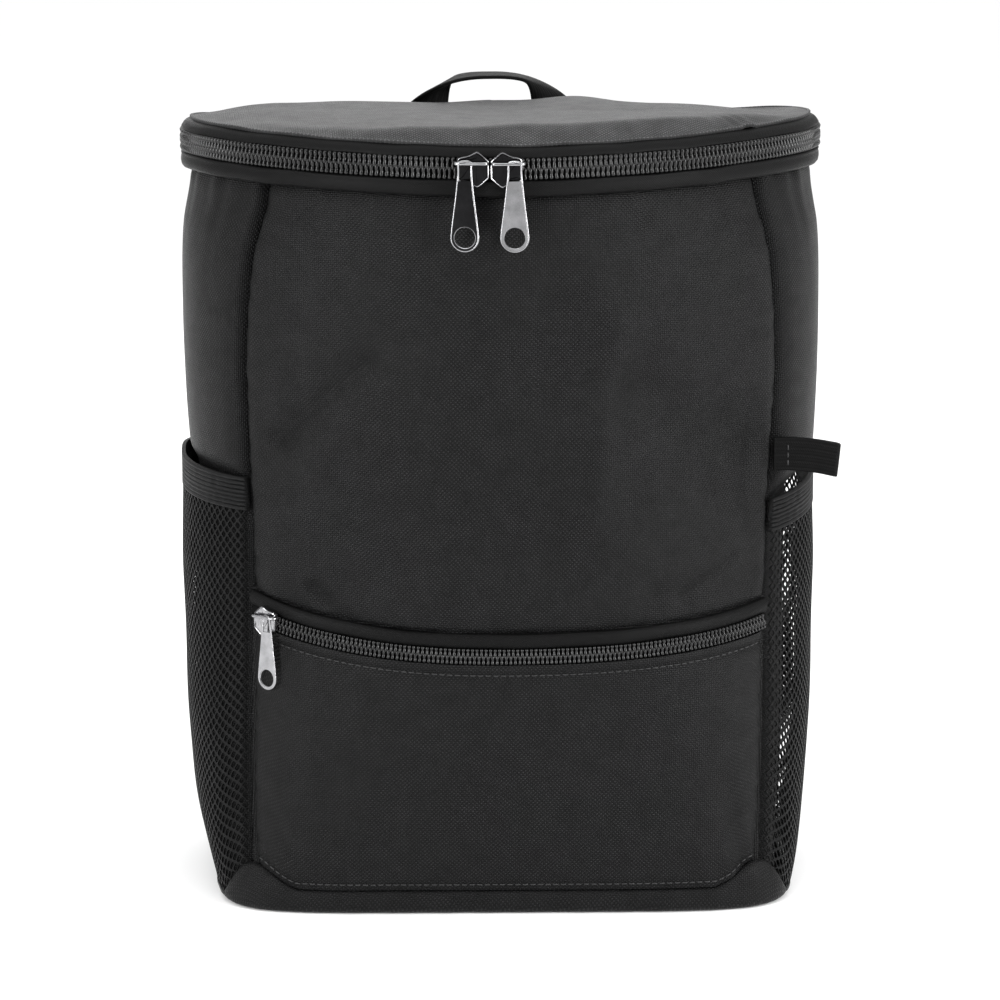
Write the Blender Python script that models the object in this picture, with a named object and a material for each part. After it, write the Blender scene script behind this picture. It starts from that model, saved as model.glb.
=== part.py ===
"""Cooler backpack, standing on its base, front towards -Y, +X to the right, +Z up, in metres.

The body is one upright skin: superellipse sections stacked from the base to the main zip.
A place on the skin is a level (0 at the base, 1 at the main zip) and an "around" number:
0 is the front centre, 1 and -1 the front seams, 2 and -2 the back seams, 3 and -3 the back centre.
Every panel, strip, zip and side pocket is cut out of that skin and set in from it by its own depth.
"""
import math
import bpy
import bmesh
import numpy as np
from mathutils import Matrix, Vector

for old in list(bpy.data.objects):
    bpy.data.objects.remove(old, do_unlink=True)

# Driving dimensions of the bag
BAG_WIDTH = 0.285            # across the band that carries the main zip
FRONT_REACH = 0.105          # from the widest place forward to the front centre
BACK_REACH = 0.060           # from the widest place back to the back panel
WIDEST_Y = 0.020             # where the bag is widest
ZIP_HEIGHT = 0.3387          # middle of the main zip at the sides
LID_RISE = 0.0118            # top of the lid above the middle of the zip
LID_THICKNESS = 0.005
WALL = 0.005                 # insulated panels
CLOTH = 0.0012               # single cloth, pockets and strips
GAP = 0.0003                 # clearance between neighbouring pieces
BASE_LIP = 0.010             # how far the base panel turns up the walls
BASE_ROUND = 0.003           # of the base's lower edge
BASE_TWIST = math.radians(-4.5)   # the soft base stands turned against the lid
BACK_CORNER = 5.0            # squareness of the back corners
BACK_SEAM = 0.80             # back seams, share of the half width
PINCH_LEVEL = 0.945          # above this level the walls run straight up behind the band
SEAM_STEP = 0.005            # half the width, in around, of the line between two panels
# Levels at which neighbouring walls have their rows, so that their seams run side by side
WALL_LEVELS = (0.055, 0.12, 0.21, 0.31, 0.41, 0.49, 0.545, 0.60, 0.67, 0.76, 0.86, 0.93)

# Sections of the body, every length a share of its named size:
# level, half width, front reach, back reach, squareness of the front, front seam (share of half width)
SECTION_COLUMNS = ("level", "width", "front", "back", "square", "seam")
SECTIONS = (
    (0.000, 0.925, 0.865, 0.94, 4.60, 0.850),
    (0.035, 0.946, 0.880, 0.96, 4.20, 0.850),
    (0.100, 0.966, 0.905, 0.98, 3.50, 0.840),
    (0.220, 0.982, 0.935, 1.00, 2.80, 0.830),
    (0.400, 0.976, 0.965, 1.00, 2.35, 0.838),
    (0.520, 0.980, 0.975, 1.00, 2.25, 0.842),
    (0.620, 0.994, 0.985, 1.00, 2.15, 0.842),
    (0.760, 1.004, 0.990, 1.00, 2.05, 0.840),
    (0.880, 0.997, 0.985, 1.00, 1.98, 0.815),
    (0.945, 0.977, 0.970, 0.99, 1.92, 0.790),
    (1.000, 1.000, 1.000, 1.00, 1.90, 0.782),
)

# Rise of the main zip along the band, a share of the strip height
BAND_COLUMNS = ("around", "rise")
BAND = (
    (0.0, -0.29),
    (0.6, -0.13),
    (1.0, 0.00),
    (1.4, 0.00),
    (2.0, -0.80),
    (3.0, -1.04),
)

# Main zip and the two strips that carry it
STRIP_HEIGHT = 0.0075        # each strip, up from the zip or down from it
STRIP_DEPTH = 0.006          # the seam edge of a strip
CHAIN_WIDTH = 0.0094
CHAIN_PROUD = 0.0004         # the coil stands this much outside the band
TAPE = 0.0010
TAPE_WIDTH = 0.015
STRIP_CLOTH = 0.0018

# Shape of the lid
LID_INSET = 0.0008
LID_TILT = 0.050             # the lid falls towards the back
LID_WARP = 0.055             # and is higher at the front right than at the front left
LID_RIM = 0.0012             # thickness left at the rim
LID_COLUMNS = ("reach", "share")
LID_ROLL = (
    (0.00, 1.00),
    (0.60, 1.00),
    (0.90, 1.00),
    (0.95, 0.82),
    (0.985, 0.42),
    (1.00, 0.00),
)

# Dents and folds of the front panel:
# from and to as around and level, width and depth as shares of their named sizes
FOLD_WIDTH = 0.020
FOLD_DEPTH = 0.0035
FOLD_COLUMNS = ("around", "level", "to_around", "to_level", "width", "depth")
FRONT_FOLDS = (
    (-0.84, 0.640, -0.52, 0.740, 0.45, 0.45),
    (0.26, 0.520, 0.32, 0.780, 0.55, -0.45),
    (0.42, 0.690, 0.95, 0.540, 0.90, 0.90),
    (0.80, 0.660, 0.94, 0.620, 0.70, 0.70),
    (-0.90, 0.450, -0.84, 0.520, 0.60, -0.40),
    (-0.40, 0.420, -0.15, 0.510, 0.70, -0.35),
    (0.50, 0.425, 0.90, 0.435, 0.35, 0.35),
)

# Front pocket
POCKET_TOP = 0.1170          # lower edge of the pocket zip at the front centre
POCKET_DIP = 0.0105          # how much higher the zip sits at the side seams
POCKET_LEAN = 0.0035         # the left end is higher than the right by twice this
POCKET_ROOM = 0.0075         # hollow behind the pocket's cloth
POCKET_BULGE = 0.0022
POCKET_CHAIN = 0.0072
POCKET_FLAP = 0.0068         # strip above the pocket zip
POCKET_TAPE = 0.0007
POCKET_TAPE_EDGE = 0.003    # tape beside the pocket's coil, on each side
FLAP_CURL = 0.0004          # how far the middle of the flap stands out
POCKET_SPREAD = 0.985        # share of the front panel's width that the pocket takes

# Mesh pockets on the sides
HEM_HEIGHT = 0.015
HEM_THICKNESS = 0.0020
HEM_BOW = 0.002              # the hem sags less at its middle than at its ends
HEM_PRESS = 0.004            # the wall is pressed in this far above the hem
PRESS_FADE = 0.020           # over which the pressed wall comes back to flush
ROOM_FADE = 0.028            # over which the pocket's hollow narrows under the hem
FOOT_FADE = 0.040            # over which the hollow widens above the base
MESH_THICKNESS = 0.0010
MESH_ROOM = 0.0057           # deepest hollow behind a net
MESH_SEAT = 0.0012           # behind the hem and the net along the seams
MESH_COLUMNS = 5
MESH_ROWS = 11
MESH_STRAND = 0.14           # share of a cell that is cord on each side of a hole
MESH_SPREAD = 0.018          # the pocket stops this far, in around, from the seams
# Height of the hem's lower edge at the front seam and at the back seam
HEM_EDGES = {"left": (0.1795, 0.1770), "right": (0.1660, 0.1770)}

# Carry handle of flat webbing, and the small loop in the right front seam
HANDLE_WEBBING = 0.0195
HANDLE_THICKNESS = 0.0016
HANDLE_SPAN = 0.0590         # between the middles of the two legs
HANDLE_DROP = 0.0207         # its feet below the middle of the zip
HANDLE_SEWN = 0.010          # length of a foot that lies flat on the back panel
HANDLE_RISE = 0.0213         # its crown above the middle of the zip
HANDLE_ARCH = 0.018          # height of the arch
HANDLE_LEAN = 0.004          # backwards, at the crown
HANDLE_STEP = 0.002          # off the back panel below the arch
HANDLE_MIDDLE = 0.0018       # to the right of the bag's middle
LOOP_WEBBING = 0.0150
LOOP_THICKNESS = 0.0011
LOOP_LENGTH = 0.0270
LOOP_HEIGHT = 0.2020
LOOP_FOLD = 0.0016           # radius of the fold at the loop's end
LOOP_FORWARD = 0.0022        # in front of the seam's line
LOOP_DROOP = 0.0035          # at its end

# Sliders and pulls; the pocket's are smaller by their own scale
SLIDER_LENGTH = 0.0136
SLIDER_HEIGHT = 0.0154
SLIDER_PLATE = 0.0018
SLIDER_CLEAR = 0.0006        # between the coil and the slider's plate
CROWN_RADIUS = 0.0007
CROWN_RISE = 0.0027          # the crown sits above the middle of the zip
EYE_CLEAR = 0.0003
EYE_WALL = 0.0007
EYE_WIDTH = 0.0060
PULL_LENGTH = 0.0395
PULL_WIDTH = 0.0128
PULL_THICKNESS = 0.0016
PULL_HOLE = 0.0044           # radius of the round hole
SLIDER_NOSES = 0.0004        # between the noses of the two main sliders
MAIN_MEETING = -0.116        # where the two main sliders meet, in around
POCKET_SLIDER_AT = -0.905
POCKET_SLIDER_SCALE = 0.86

# Half height of a slider's plate along its length, from its outer end to its nose
SLIDER_COLUMNS = ("along", "half_height")
SLIDER_PLATE_OUTLINE = (
    (0.00, 0.52),
    (0.12, 0.78),
    (0.38, 0.92),
    (0.60, 1.00),
    (0.80, 0.82),
    (1.00, 0.50),
)
# Half width of a pull along its length, from the crown down
PULL_COLUMNS = ("along", "half_width")
PULL_OUTLINE = (
    (0.03, 0.45),
    (0.25, 0.47),
    (0.42, 0.58),
    (0.60, 0.78),
    (0.74, 0.95),
)

# Hidden back: padded shoulder straps, plainly finished
STRAP_WIDTH = 0.055
STRAP_THICKNESS = 0.009
STRAP_DROP = 0.0207          # top seam of the straps below the middle of the zip
STRAP_FOOT = 0.118
STRAP_TOP_X = 0.036
STRAP_FOOT_X = 0.080
STRAP_BOW = 0.020            # how far the straps stand off the back panel
TAIL_WEBBING = 0.025
TAIL_THICKNESS = 0.0014
TAIL_FOOT = 0.034
TAIL_FOOT_X = 0.094
ADJUSTER_HEIGHT = 0.022
ADJUSTER_WIDTH = 0.034
ADJUSTER_THICKNESS = 0.0030
TAIL_SLACK = 0.25            # how far the tail webbing swings out before it meets its anchor
ANCHOR_HEIGHT = 0.026
ANCHOR_WIDER = 1.1           # the sewn anchor against its webbing
ANCHOR_THICKNESS = 0.0020

BLACK_CLOTH = (0.022, 0.022, 0.024)
BLACK_WEBBING = (0.012, 0.012, 0.013)
BLACK_COIL = (0.020, 0.020, 0.021)
GUNMETAL = (0.30, 0.30, 0.31)

STEPS = np.linspace(0.0, 1.0, 61)


def smooth(table, columns, wanted, at):
    """A column of a table at the given places, joined by cubic curves through its rows."""
    rows = np.array(table)
    places = rows[:, 0]
    values = rows[:, columns.index(wanted)]
    slopes = np.gradient(values, places)
    at = np.clip(np.asarray(at, float), places[0], places[-1])
    i = np.clip(np.searchsorted(places, at, side="right") - 1, 0, len(places) - 2)
    span = places[i + 1] - places[i]
    t = (at - places[i]) / span
    rise = values[i + 1] - values[i]
    bend = t * (1 - t) * ((1 - t) * (slopes[i] * span - rise) - t * (slopes[i + 1] * span - rise))
    return values[i] + rise * t + bend


def half_outline(level):
    """Right half of a section from front centre to back centre, at even shares of each panel."""
    half_width = BAG_WIDTH / 2 * smooth(SECTIONS, SECTION_COLUMNS, "width", level)
    front = FRONT_REACH * smooth(SECTIONS, SECTION_COLUMNS, "front", level)
    back = BACK_REACH * smooth(SECTIONS, SECTION_COLUMNS, "back", level)
    square = smooth(SECTIONS, SECTION_COLUMNS, "square", level)
    seam = smooth(SECTIONS, SECTION_COLUMNS, "seam", level)
    turn = np.linspace(0.0, math.pi / 2, 400)
    front_x = half_width * np.sin(turn) ** (2 / square)
    front_y = WIDEST_Y - front * np.cos(turn) ** (2 / square)
    back_x = half_width * np.cos(turn) ** (2 / BACK_CORNER)
    back_y = WIDEST_Y + back * np.sin(turn) ** (2 / BACK_CORNER)
    x = np.concatenate((front_x, back_x[1:]))
    y = np.concatenate((front_y, back_y[1:]))
    length = np.concatenate(([0.0], np.cumsum(np.hypot(np.diff(x), np.diff(y)))))
    widest = len(front_x)
    at_seam = np.interp(seam * half_width, x[:widest], length[:widest])
    at_back = np.interp(-BACK_SEAM * half_width, -x[widest:], length[widest:])
    marks = np.array((0.0, at_seam, at_back, length[-1]))
    wanted = np.interp(3 * STEPS, (0, 1, 2, 3), marks)
    return np.interp(wanted, length, x), np.interp(wanted, length, y)


OUTLINES = np.array([half_outline(level) for level in STEPS])


def skin(level, around):
    """Place and outward direction on the skin, in plan, for arrays of level and around."""
    def plan(at):
        row = np.clip(level, 0.0, 1.0) * (len(STEPS) - 1)
        column = np.clip(np.abs(at), 0.0, 3.0) / 3 * (len(STEPS) - 1)
        r = np.minimum(row.astype(int), len(STEPS) - 2)
        c = np.minimum(column.astype(int), len(STEPS) - 2)
        u, v = row - r, column - c
        grid = OUTLINES
        found = [
            (grid[r, k, c] * (1 - v) + grid[r, k, c + 1] * v) * (1 - u)
            + (grid[r + 1, k, c] * (1 - v) + grid[r + 1, k, c + 1] * v) * u
            for k in (0, 1)
        ]
        return np.stack((found[0] * np.where(at < 0, -1.0, 1.0), found[1]), axis=-1)

    level, around = np.broadcast_arrays(np.asarray(level, float), np.asarray(around, float))
    here = plan(around)
    reach = 0.06
    ahead = plan(np.clip(around + reach, -3, 3)) - plan(np.clip(around - reach, -3, 3))
    ahead /= np.linalg.norm(ahead, axis=-1, keepdims=True)
    return here, np.stack((ahead[..., 1], -ahead[..., 0]), axis=-1)


def on_skin(height, around, inset, level=None):
    """Points at a height, set in from the skin; the base's twist fades out by mid height."""
    height, around, inset = np.broadcast_arrays(height, around, inset)
    if level is None:
        level = height / ZIP_HEIGHT
    here, out = skin(level, around)
    flat = here - out * inset[..., None]
    fade = np.clip(1 - height / (0.75 * ZIP_HEIGHT), 0.0, 1.0)
    turn = BASE_TWIST * fade * fade * (3 - 2 * fade)
    x = flat[..., 0] * np.cos(turn) - flat[..., 1] * np.sin(turn)
    y = flat[..., 0] * np.sin(turn) + flat[..., 1] * np.cos(turn)
    return np.stack((x, y, height), axis=-1)


def wall_level(height):
    """Level of the walls: they stay pinched in under the band instead of flaring out with it."""
    return np.minimum(np.asarray(height) / ZIP_HEIGHT, PINCH_LEVEL)


def wall_points(height, around, inset):
    """Points of the body's walls."""
    return on_skin(height, around, inset, wall_level(height))


def band_height(around):
    """Height of the middle of the main zip."""
    return ZIP_HEIGHT + STRIP_HEIGHT * smooth(BAND, BAND_COLUMNS, "rise", np.abs(around))


def strip_edge(side):
    """Far edge of a strip, from the middle of the zip: 1 above, -1 below."""
    return side * (CHAIN_WIDTH / 2 + GAP + STRIP_HEIGHT)


def pocket_zip_height(around):
    """Middle of the pocket zip: lowest at the front centre, a little higher on the left."""
    bow = np.abs(around) ** 2.2
    return POCKET_TOP + POCKET_CHAIN / 2 + POCKET_DIP * bow - POCKET_LEAN * around * np.abs(around)


def bump(at, low, high, soft):
    """1 between low and high, falling smoothly to 0 over a soft margin outside them."""
    up = np.clip((at - low) / soft + 1, 0, 1)
    down = np.clip((high - at) / soft + 1, 0, 1)
    both = np.minimum(up, down)
    return both * both * (3 - 2 * both)


def folds(around, height):
    """Depth of the front panel's dents and folds, each a line that fades out to its sides."""
    half = BAG_WIDTH / 2
    depth = np.zeros(np.broadcast(around, height).shape)
    for fold in FRONT_FOLDS:
        row = dict(zip(FOLD_COLUMNS, fold))
        start = np.array((row["around"] * half, row["level"] * ZIP_HEIGHT))
        end = np.array((row["to_around"] * half, row["to_level"] * ZIP_HEIGHT))
        along = end - start
        across = np.stack((around * half - start[0], height - start[1]), axis=-1)
        share = np.clip(across @ along / (along @ along), 0, 1)
        away = np.linalg.norm(across - share[..., None] * along, axis=-1)
        depth += FOLD_DEPTH * row["depth"] * np.exp(-(away / (FOLD_WIDTH * row["width"])) ** 2)
    return depth * np.clip((1 - np.abs(around)) / 0.12, 0, 1)


def finish(name, mesh, colour, roughness, metallic=0.0, place=None):
    """Make the object, shade it round, and give it its own material."""
    mesh.update()
    mesh.shade_smooth()
    mesh.set_sharp_from_angle(angle=math.radians(35))
    thing = bpy.data.objects.new(name, mesh)
    bpy.context.scene.collection.objects.link(thing)
    if place is not None:
        thing.matrix_world = place
    material = bpy.data.materials.new(name)
    material.use_nodes = True
    surface = material.node_tree.nodes["Principled BSDF"]
    surface.inputs["Base Color"].default_value = (*colour, 1.0)
    surface.inputs["Roughness"].default_value = roughness
    surface.inputs["Metallic"].default_value = metallic
    mesh.materials.append(material)
    return thing


def closed_mesh(name, points, faces):
    """A mesh from points and faces, with its faces turned outwards."""
    shape = bmesh.new()
    corners = [shape.verts.new(point) for point in np.asarray(points, float)]
    for face in faces:
        shape.faces.new([corners[i] for i in face])
    bmesh.ops.recalc_face_normals(shape, faces=shape.faces)
    mesh = bpy.data.meshes.new(name)
    shape.to_mesh(mesh)
    shape.free()
    return mesh


def cells(rows, columns, start=0, wrap=False):
    """Corner numbers of every cell of a grid of points, rows by columns."""
    last = columns if wrap else columns - 1
    found = []
    for r in range(rows - 1):
        for c in range(last):
            a = start + r * columns + c
            b = start + r * columns + (c + 1) % columns
            found.append((a, b, b + columns, a + columns))
    return found


def panel(name, outer, inner, colour=BLACK_CLOTH, roughness=0.85):
    """A wall between an outer and an inner grid of points, closed along its four edges."""
    rows, columns = outer.shape[:2]
    count = rows * columns
    points = np.concatenate((outer.reshape(-1, 3), inner.reshape(-1, 3)))
    faces = cells(rows, columns) + cells(rows, columns, count)
    rim = [c for c in range(columns)]
    rim += [r * columns + columns - 1 for r in range(1, rows)]
    rim += [(rows - 1) * columns + c for c in range(columns - 2, -1, -1)]
    rim += [r * columns for r in range(rows - 2, 0, -1)]
    for a, b in zip(rim, rim[1:] + rim[:1]):
        faces.append((a, b, b + count, a + count))
    return finish(name, closed_mesh(name, points, faces), colour, roughness)


def swept(name, loops, colour=BLACK_CLOTH, roughness=0.85):
    """A bar through a row of closed loops of points, with flat ends."""
    stations, sides = loops.shape[:2]
    faces = cells(stations, sides, wrap=True)
    faces.append(tuple(range(sides)))
    faces.append(tuple(range((stations - 1) * sides, stations * sides)))
    return finish(name, closed_mesh(name, loops.reshape(-1, 3), faces), colour, roughness)


def ringed(name, rings, first, last, colour=BLACK_CLOTH, roughness=0.85):
    """A closed body of rings round the bag's middle, drawn together to a point at each end."""
    count, sides = rings.shape[:2]
    points = np.concatenate((rings.reshape(-1, 3), (first, last)))
    faces = cells(count, sides, wrap=True)
    for c in range(sides):
        faces.append((c, (c + 1) % sides, count * sides))
        low = (count - 1) * sides
        faces.append((low + c, low + (c + 1) % sides, count * sides + 1))
    return finish(name, closed_mesh(name, points, faces), colour, roughness)


def spread(start, end, count):
    """Even places between two bounds."""
    return np.linspace(start, end, count)


def front_wall_inset(height, around):
    """Outer face of the front panel: folds above the flap, a recess behind the pocket."""
    zip_line = pocket_zip_height(around)
    flap_top = zip_line + POCKET_CHAIN / 2 + GAP + POCKET_FLAP
    layers = CLOTH + 2 * GAP + POCKET_TAPE
    middle = (zip_line + BASE_LIP) / 2
    half = (zip_line - BASE_LIP) / 2
    upright = 1 - np.clip(np.abs(height - middle) / half, 0, 1) ** 4
    room = POCKET_ROOM * upright * (1 - np.clip(np.abs(around), 0, 1) ** 8)
    return np.where(height > flap_top, folds(around, height), layers + room)


def front_panel():
    """Front wall of the body, from the base's lip to the strip under the main zip."""
    around = spread(-1 + SEAM_STEP, 1 - SEAM_STEP, 19)
    zip_line = pocket_zip_height(around)
    flap_top = zip_line + POCKET_CHAIN / 2 + GAP + POCKET_FLAP
    top = band_height(around) + strip_edge(-1) - GAP
    foot = np.full(around.shape, BASE_LIP + GAP)
    lower = [foot]
    lower += [np.full(around.shape, level * ZIP_HEIGHT) for level in WALL_LEVELS if level < 0.33]
    lower += [flap_top - 2 * GAP]
    upper = [flap_top]
    upper += [np.full(around.shape, level * ZIP_HEIGHT) for level in WALL_LEVELS if level > 0.45]
    upper += [top]
    height = np.array(lower + upper)
    around = np.broadcast_to(around, height.shape)
    inset = front_wall_inset(height, around)
    panel("front_panel", wall_points(height, around, inset), wall_points(height, around, inset + WALL))


def hem_line(side, share):
    """Lower edge of a side pocket's hem, from its front seam to its back seam."""
    front, back = HEM_EDGES[side]
    return front + (back - front) * share + HEM_BOW * np.sin(math.pi * share)


def side_wall_inset(side, height, share):
    """Outer face of a side panel: flush above, pressed in behind the mesh pocket."""
    rim = hem_line(side, share) + HEM_HEIGHT
    covered = bump(height, 0.0, rim + HEM_PRESS, PRESS_FADE)
    middle = 1 - np.abs(2 * share - 1) ** 4
    foot = np.clip(0.45 + (height - BASE_LIP) / FOOT_FADE, 0.0, 1.0)
    room = MESH_ROOM * middle * foot * (2 - foot) * bump(height, 0.0, rim, ROOM_FADE)
    return (HEM_THICKNESS + MESH_SEAT) * covered + room


def wall_rows(top):
    """Heights of a wall's rows, from the base's lip through the shared levels to its top."""
    foot = np.full(top.shape, BASE_LIP + GAP)
    return np.array([foot, *(np.full(top.shape, level * ZIP_HEIGHT) for level in WALL_LEVELS), top])


def side_panel(side):
    """Side wall between the front and back seams."""
    sign = -1 if side == "left" else 1
    share = spread(0, 1, 11)
    around = sign * (1 + SEAM_STEP + (1 - 2 * SEAM_STEP) * share)
    height = wall_rows(band_height(around) + strip_edge(-1) - GAP)
    inset = side_wall_inset(side, height, share)
    around = np.broadcast_to(around, height.shape)
    outer = wall_points(height, around, inset)
    panel("side_panel_" + side, outer, wall_points(height, around, inset + WALL))


def seam_height(around):
    """Top of the strip under the lid."""
    return band_height(around) + strip_edge(1)


def back_panel():
    """Plain back wall, up to the lid's hinge edge."""
    share = spread(0, 1, 9)
    around = 2 + SEAM_STEP + (2 - 2 * SEAM_STEP) * share
    around = np.where(around > 3, around - 6, around)
    height = wall_rows(seam_height(around) - GAP)
    around = np.broadcast_to(around, height.shape)
    panel("back_panel", wall_points(height, around, 0.0), wall_points(height, around, WALL))


def base_panel():
    """Flat base with a low lip that turns up all round."""
    around = spread(-3, 3, 41)[:-1]
    # height, inset and level of each ring, from the underside round the lip to the inside
    profile = (
        (0.0, BASE_ROUND),
        (BASE_ROUND * 0.35, BASE_ROUND * 0.35),
        (BASE_ROUND, 0.0),
        (BASE_LIP, 0.0),
        (BASE_LIP, WALL),
        (WALL, WALL + BASE_ROUND),
    )
    rings = []
    for height, inset in profile:
        rise = np.full(around.shape, height)
        rings.append(on_skin(rise, around, inset))
    middle = (0.0, WIDEST_Y / 2)
    ringed("base_panel", np.array(rings), (*middle, 0.0), (*middle, WALL))


def lid_surface(reach, around):
    """Top of the lid: a shallow plate that tilts back, warps a little and rolls down at its rim."""
    rim = on_skin(seam_height(around), around, LID_INSET, np.ones(around.shape))
    x = rim[:, 0] * reach
    y = WIDEST_Y + (rim[:, 1] - WIDEST_Y) * reach
    plate = ZIP_HEIGHT + LID_RISE - LID_TILT * y - LID_WARP * x * y / (BAG_WIDTH / 2)
    roll = smooth(LID_ROLL, LID_COLUMNS, "share", reach)
    low = rim[:, 2] + GAP + LID_RIM
    return np.stack((x, y, low + (plate - low) * roll), axis=-1)


def lid_panel():
    """Insulated lid, dished underneath inside the strip that it is sewn to."""
    around = spread(-3, 3, 41)[:-1]
    rings = [lid_surface(reach, around) for reach in (0.50, 0.80, 0.91, 0.96, 0.985, 1.0)]
    rim = on_skin(seam_height(around), around, LID_INSET, np.ones(around.shape))
    rim[:, 2] += GAP
    rings.append(rim)
    inner = on_skin(seam_height(around), around, STRIP_DEPTH + GAP, np.ones(around.shape))
    inner[:, 2] += GAP
    rings.append(inner)
    under = lid_surface(0.80, around)
    under[:, 2] -= LID_THICKNESS
    rings.append(under)
    middle = lid_surface(0.0, around)[0]
    ringed("lid_panel", np.array(rings), middle, middle - np.array((0, 0, LID_THICKNESS)))


def band_piece(name, profile, colour, roughness):
    """A bar along the band from back seam to back seam; profile rows are (inset, rise)."""
    end = 2 - 0.012
    around = np.concatenate((spread(-end, -1.2, 9), spread(-1, 1, 17), spread(1.2, end, 9)))
    loops = []
    for inset, rise in profile:
        height = band_height(around) + rise
        loops.append(on_skin(height, around, inset, np.ones(around.shape)))
    swept(name, np.stack(loops, axis=1), colour, roughness)


def strip_profile(side):
    """A strip: thin beside the zip, where it covers the tape, and thick at its seam."""
    near = side * (CHAIN_WIDTH / 2 + GAP)
    tape_edge = side * (TAPE_WIDTH / 2 + GAP)
    far = strip_edge(side)
    return (
        (0.0, near),
        (0.0, far),
        (STRIP_DEPTH, far),
        (STRIP_DEPTH, tape_edge + side * GAP),
        (STRIP_CLOTH, tape_edge),
        (STRIP_CLOTH, near),
    )


def zip_profile(chain, tape_width, cover, tape):
    """Tape behind the strips with the coil standing out between them."""
    half = chain / 2
    wide = tape_width / 2
    face = cover + GAP
    return (
        (-CHAIN_PROUD, half * 0.8),
        (face, half),
        (face, wide),
        (face + tape, wide),
        (face + tape, -wide),
        (face, -wide),
        (face, -half),
        (-CHAIN_PROUD, -half * 0.8),
    )


def band():
    """The main zip and its two strips."""
    band_piece("lid_strip", strip_profile(1), BLACK_CLOTH, 0.85)
    band_piece("body_strip", strip_profile(-1), BLACK_CLOTH, 0.85)
    band_piece("main_zip", zip_profile(CHAIN_WIDTH, TAPE_WIDTH, STRIP_CLOTH, TAPE), BLACK_COIL, 0.45)


def pocket_bar(name, profile, colour, roughness):
    """A bar along the top of the front pocket; profile rows are (inset, rise)."""
    around = POCKET_SPREAD * spread(-1, 1, 21)
    loops = []
    for inset, rise in profile:
        loops.append(on_skin(pocket_zip_height(around) + rise, around, inset))
    swept(name, np.stack(loops, axis=1), colour, roughness)


def front_pocket():
    """Cloth pocket on the lower front with a zip along its top and a strip above the zip."""
    around = POCKET_SPREAD * spread(-1, 1, 21)
    top = pocket_zip_height(around) - POCKET_CHAIN / 2 - GAP
    foot = np.full(around.shape, BASE_LIP + GAP)
    shares = (0, 0.07, 0.22, 0.40, 0.60, 0.80, 0.94, 1)
    height = np.array([foot + (top - foot) * share for share in shares])
    upright = np.array([1 - abs(2 * share - 1) ** 3 for share in shares])[:, None]
    bulge = POCKET_BULGE * upright * (1 - np.abs(around) ** 6)
    around = np.broadcast_to(around, height.shape)
    panel("front_pocket", on_skin(height, around, -bulge), on_skin(height, around, CLOTH - bulge))
    near = POCKET_CHAIN / 2 + GAP
    far = near + POCKET_FLAP - 2 * GAP
    flap = ((0.0, near), (-FLAP_CURL, (near + far) / 2), (0.0, far), (CLOTH, far), (CLOTH, near))
    pocket_bar("pocket_flap", flap, BLACK_CLOTH, 0.85)
    tape_width = POCKET_CHAIN + 2 * POCKET_TAPE_EDGE
    pocket_bar("pocket_zip", zip_profile(POCKET_CHAIN, tape_width, CLOTH, POCKET_TAPE), BLACK_COIL, 0.45)


def mesh_around(side, share):
    """Around numbers across a side pocket, from its front edge to its back edge."""
    sign = -1 if side == "left" else 1
    return sign * (1 + MESH_SPREAD + (1 - 2 * MESH_SPREAD) * share)


def mesh_pocket(side):
    """Open net over the lower side: a grid of cells, each with a diamond cut through."""
    column_shares = spread(0, 1, MESH_COLUMNS + 1)
    row_shares = spread(0, 1, MESH_ROWS + 1)
    foot = BASE_LIP + GAP

    def net_point(across, up, inset):
        height = foot + (hem_line(side, across) - GAP - foot) * up
        return on_skin(height, mesh_around(side, across), inset)

    across, up = np.meshgrid(column_shares, row_shares)
    middle_across = (column_shares[1:] + column_shares[:-1]) / 2
    middle_up = (row_shares[1:] + row_shares[:-1]) / 2
    half_column = (0.5 - MESH_STRAND) / MESH_COLUMNS
    half_row = (0.5 - MESH_STRAND) / MESH_ROWS
    centre_across, centre_up = np.meshgrid(middle_across, middle_up)
    steps = ((0, -half_row), (half_column, 0), (0, half_row), (-half_column, 0))
    layers = []
    for inset in (0.0, MESH_THICKNESS):
        corners = net_point(across, up, inset).reshape(-1, 3)
        holes = [net_point(centre_across + dx, centre_up + dy, inset).reshape(-1, 3) for dx, dy in steps]
        layers.append(np.concatenate((corners, *holes)))
    points = np.concatenate(layers)
    count = len(layers[0])
    wide = MESH_COLUMNS + 1
    grid_count = wide * (MESH_ROWS + 1)
    cell_count = MESH_COLUMNS * MESH_ROWS
    faces = []
    for row in range(MESH_ROWS):
        for column in range(MESH_COLUMNS):
            square = row * wide + column
            corner = (square, square + 1, square + 1 + wide, square + wide)
            cell = row * MESH_COLUMNS + column
            hole = [grid_count + k * cell_count + cell for k in range(4)]
            for k in range(4):
                after = (k + 1) % 4
                for level in (0, count):
                    faces.append((corner[k] + level, corner[after] + level, hole[k] + level))
                    faces.append((corner[after] + level, hole[after] + level, hole[k] + level))
                faces.append((hole[k], hole[after], hole[after] + count, hole[k] + count))
    rim = list(range(wide))
    rim += [r * wide + wide - 1 for r in range(1, MESH_ROWS + 1)]
    rim += [MESH_ROWS * wide + c for c in range(wide - 2, -1, -1)]
    rim += [r * wide for r in range(MESH_ROWS - 1, 0, -1)]
    for a, b in zip(rim, rim[1:] + rim[:1]):
        faces.append((a, b, b + count, a + count))
    finish("mesh_pocket_" + side, closed_mesh("mesh_pocket_" + side, points, faces), BLACK_WEBBING, 0.8)


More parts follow.
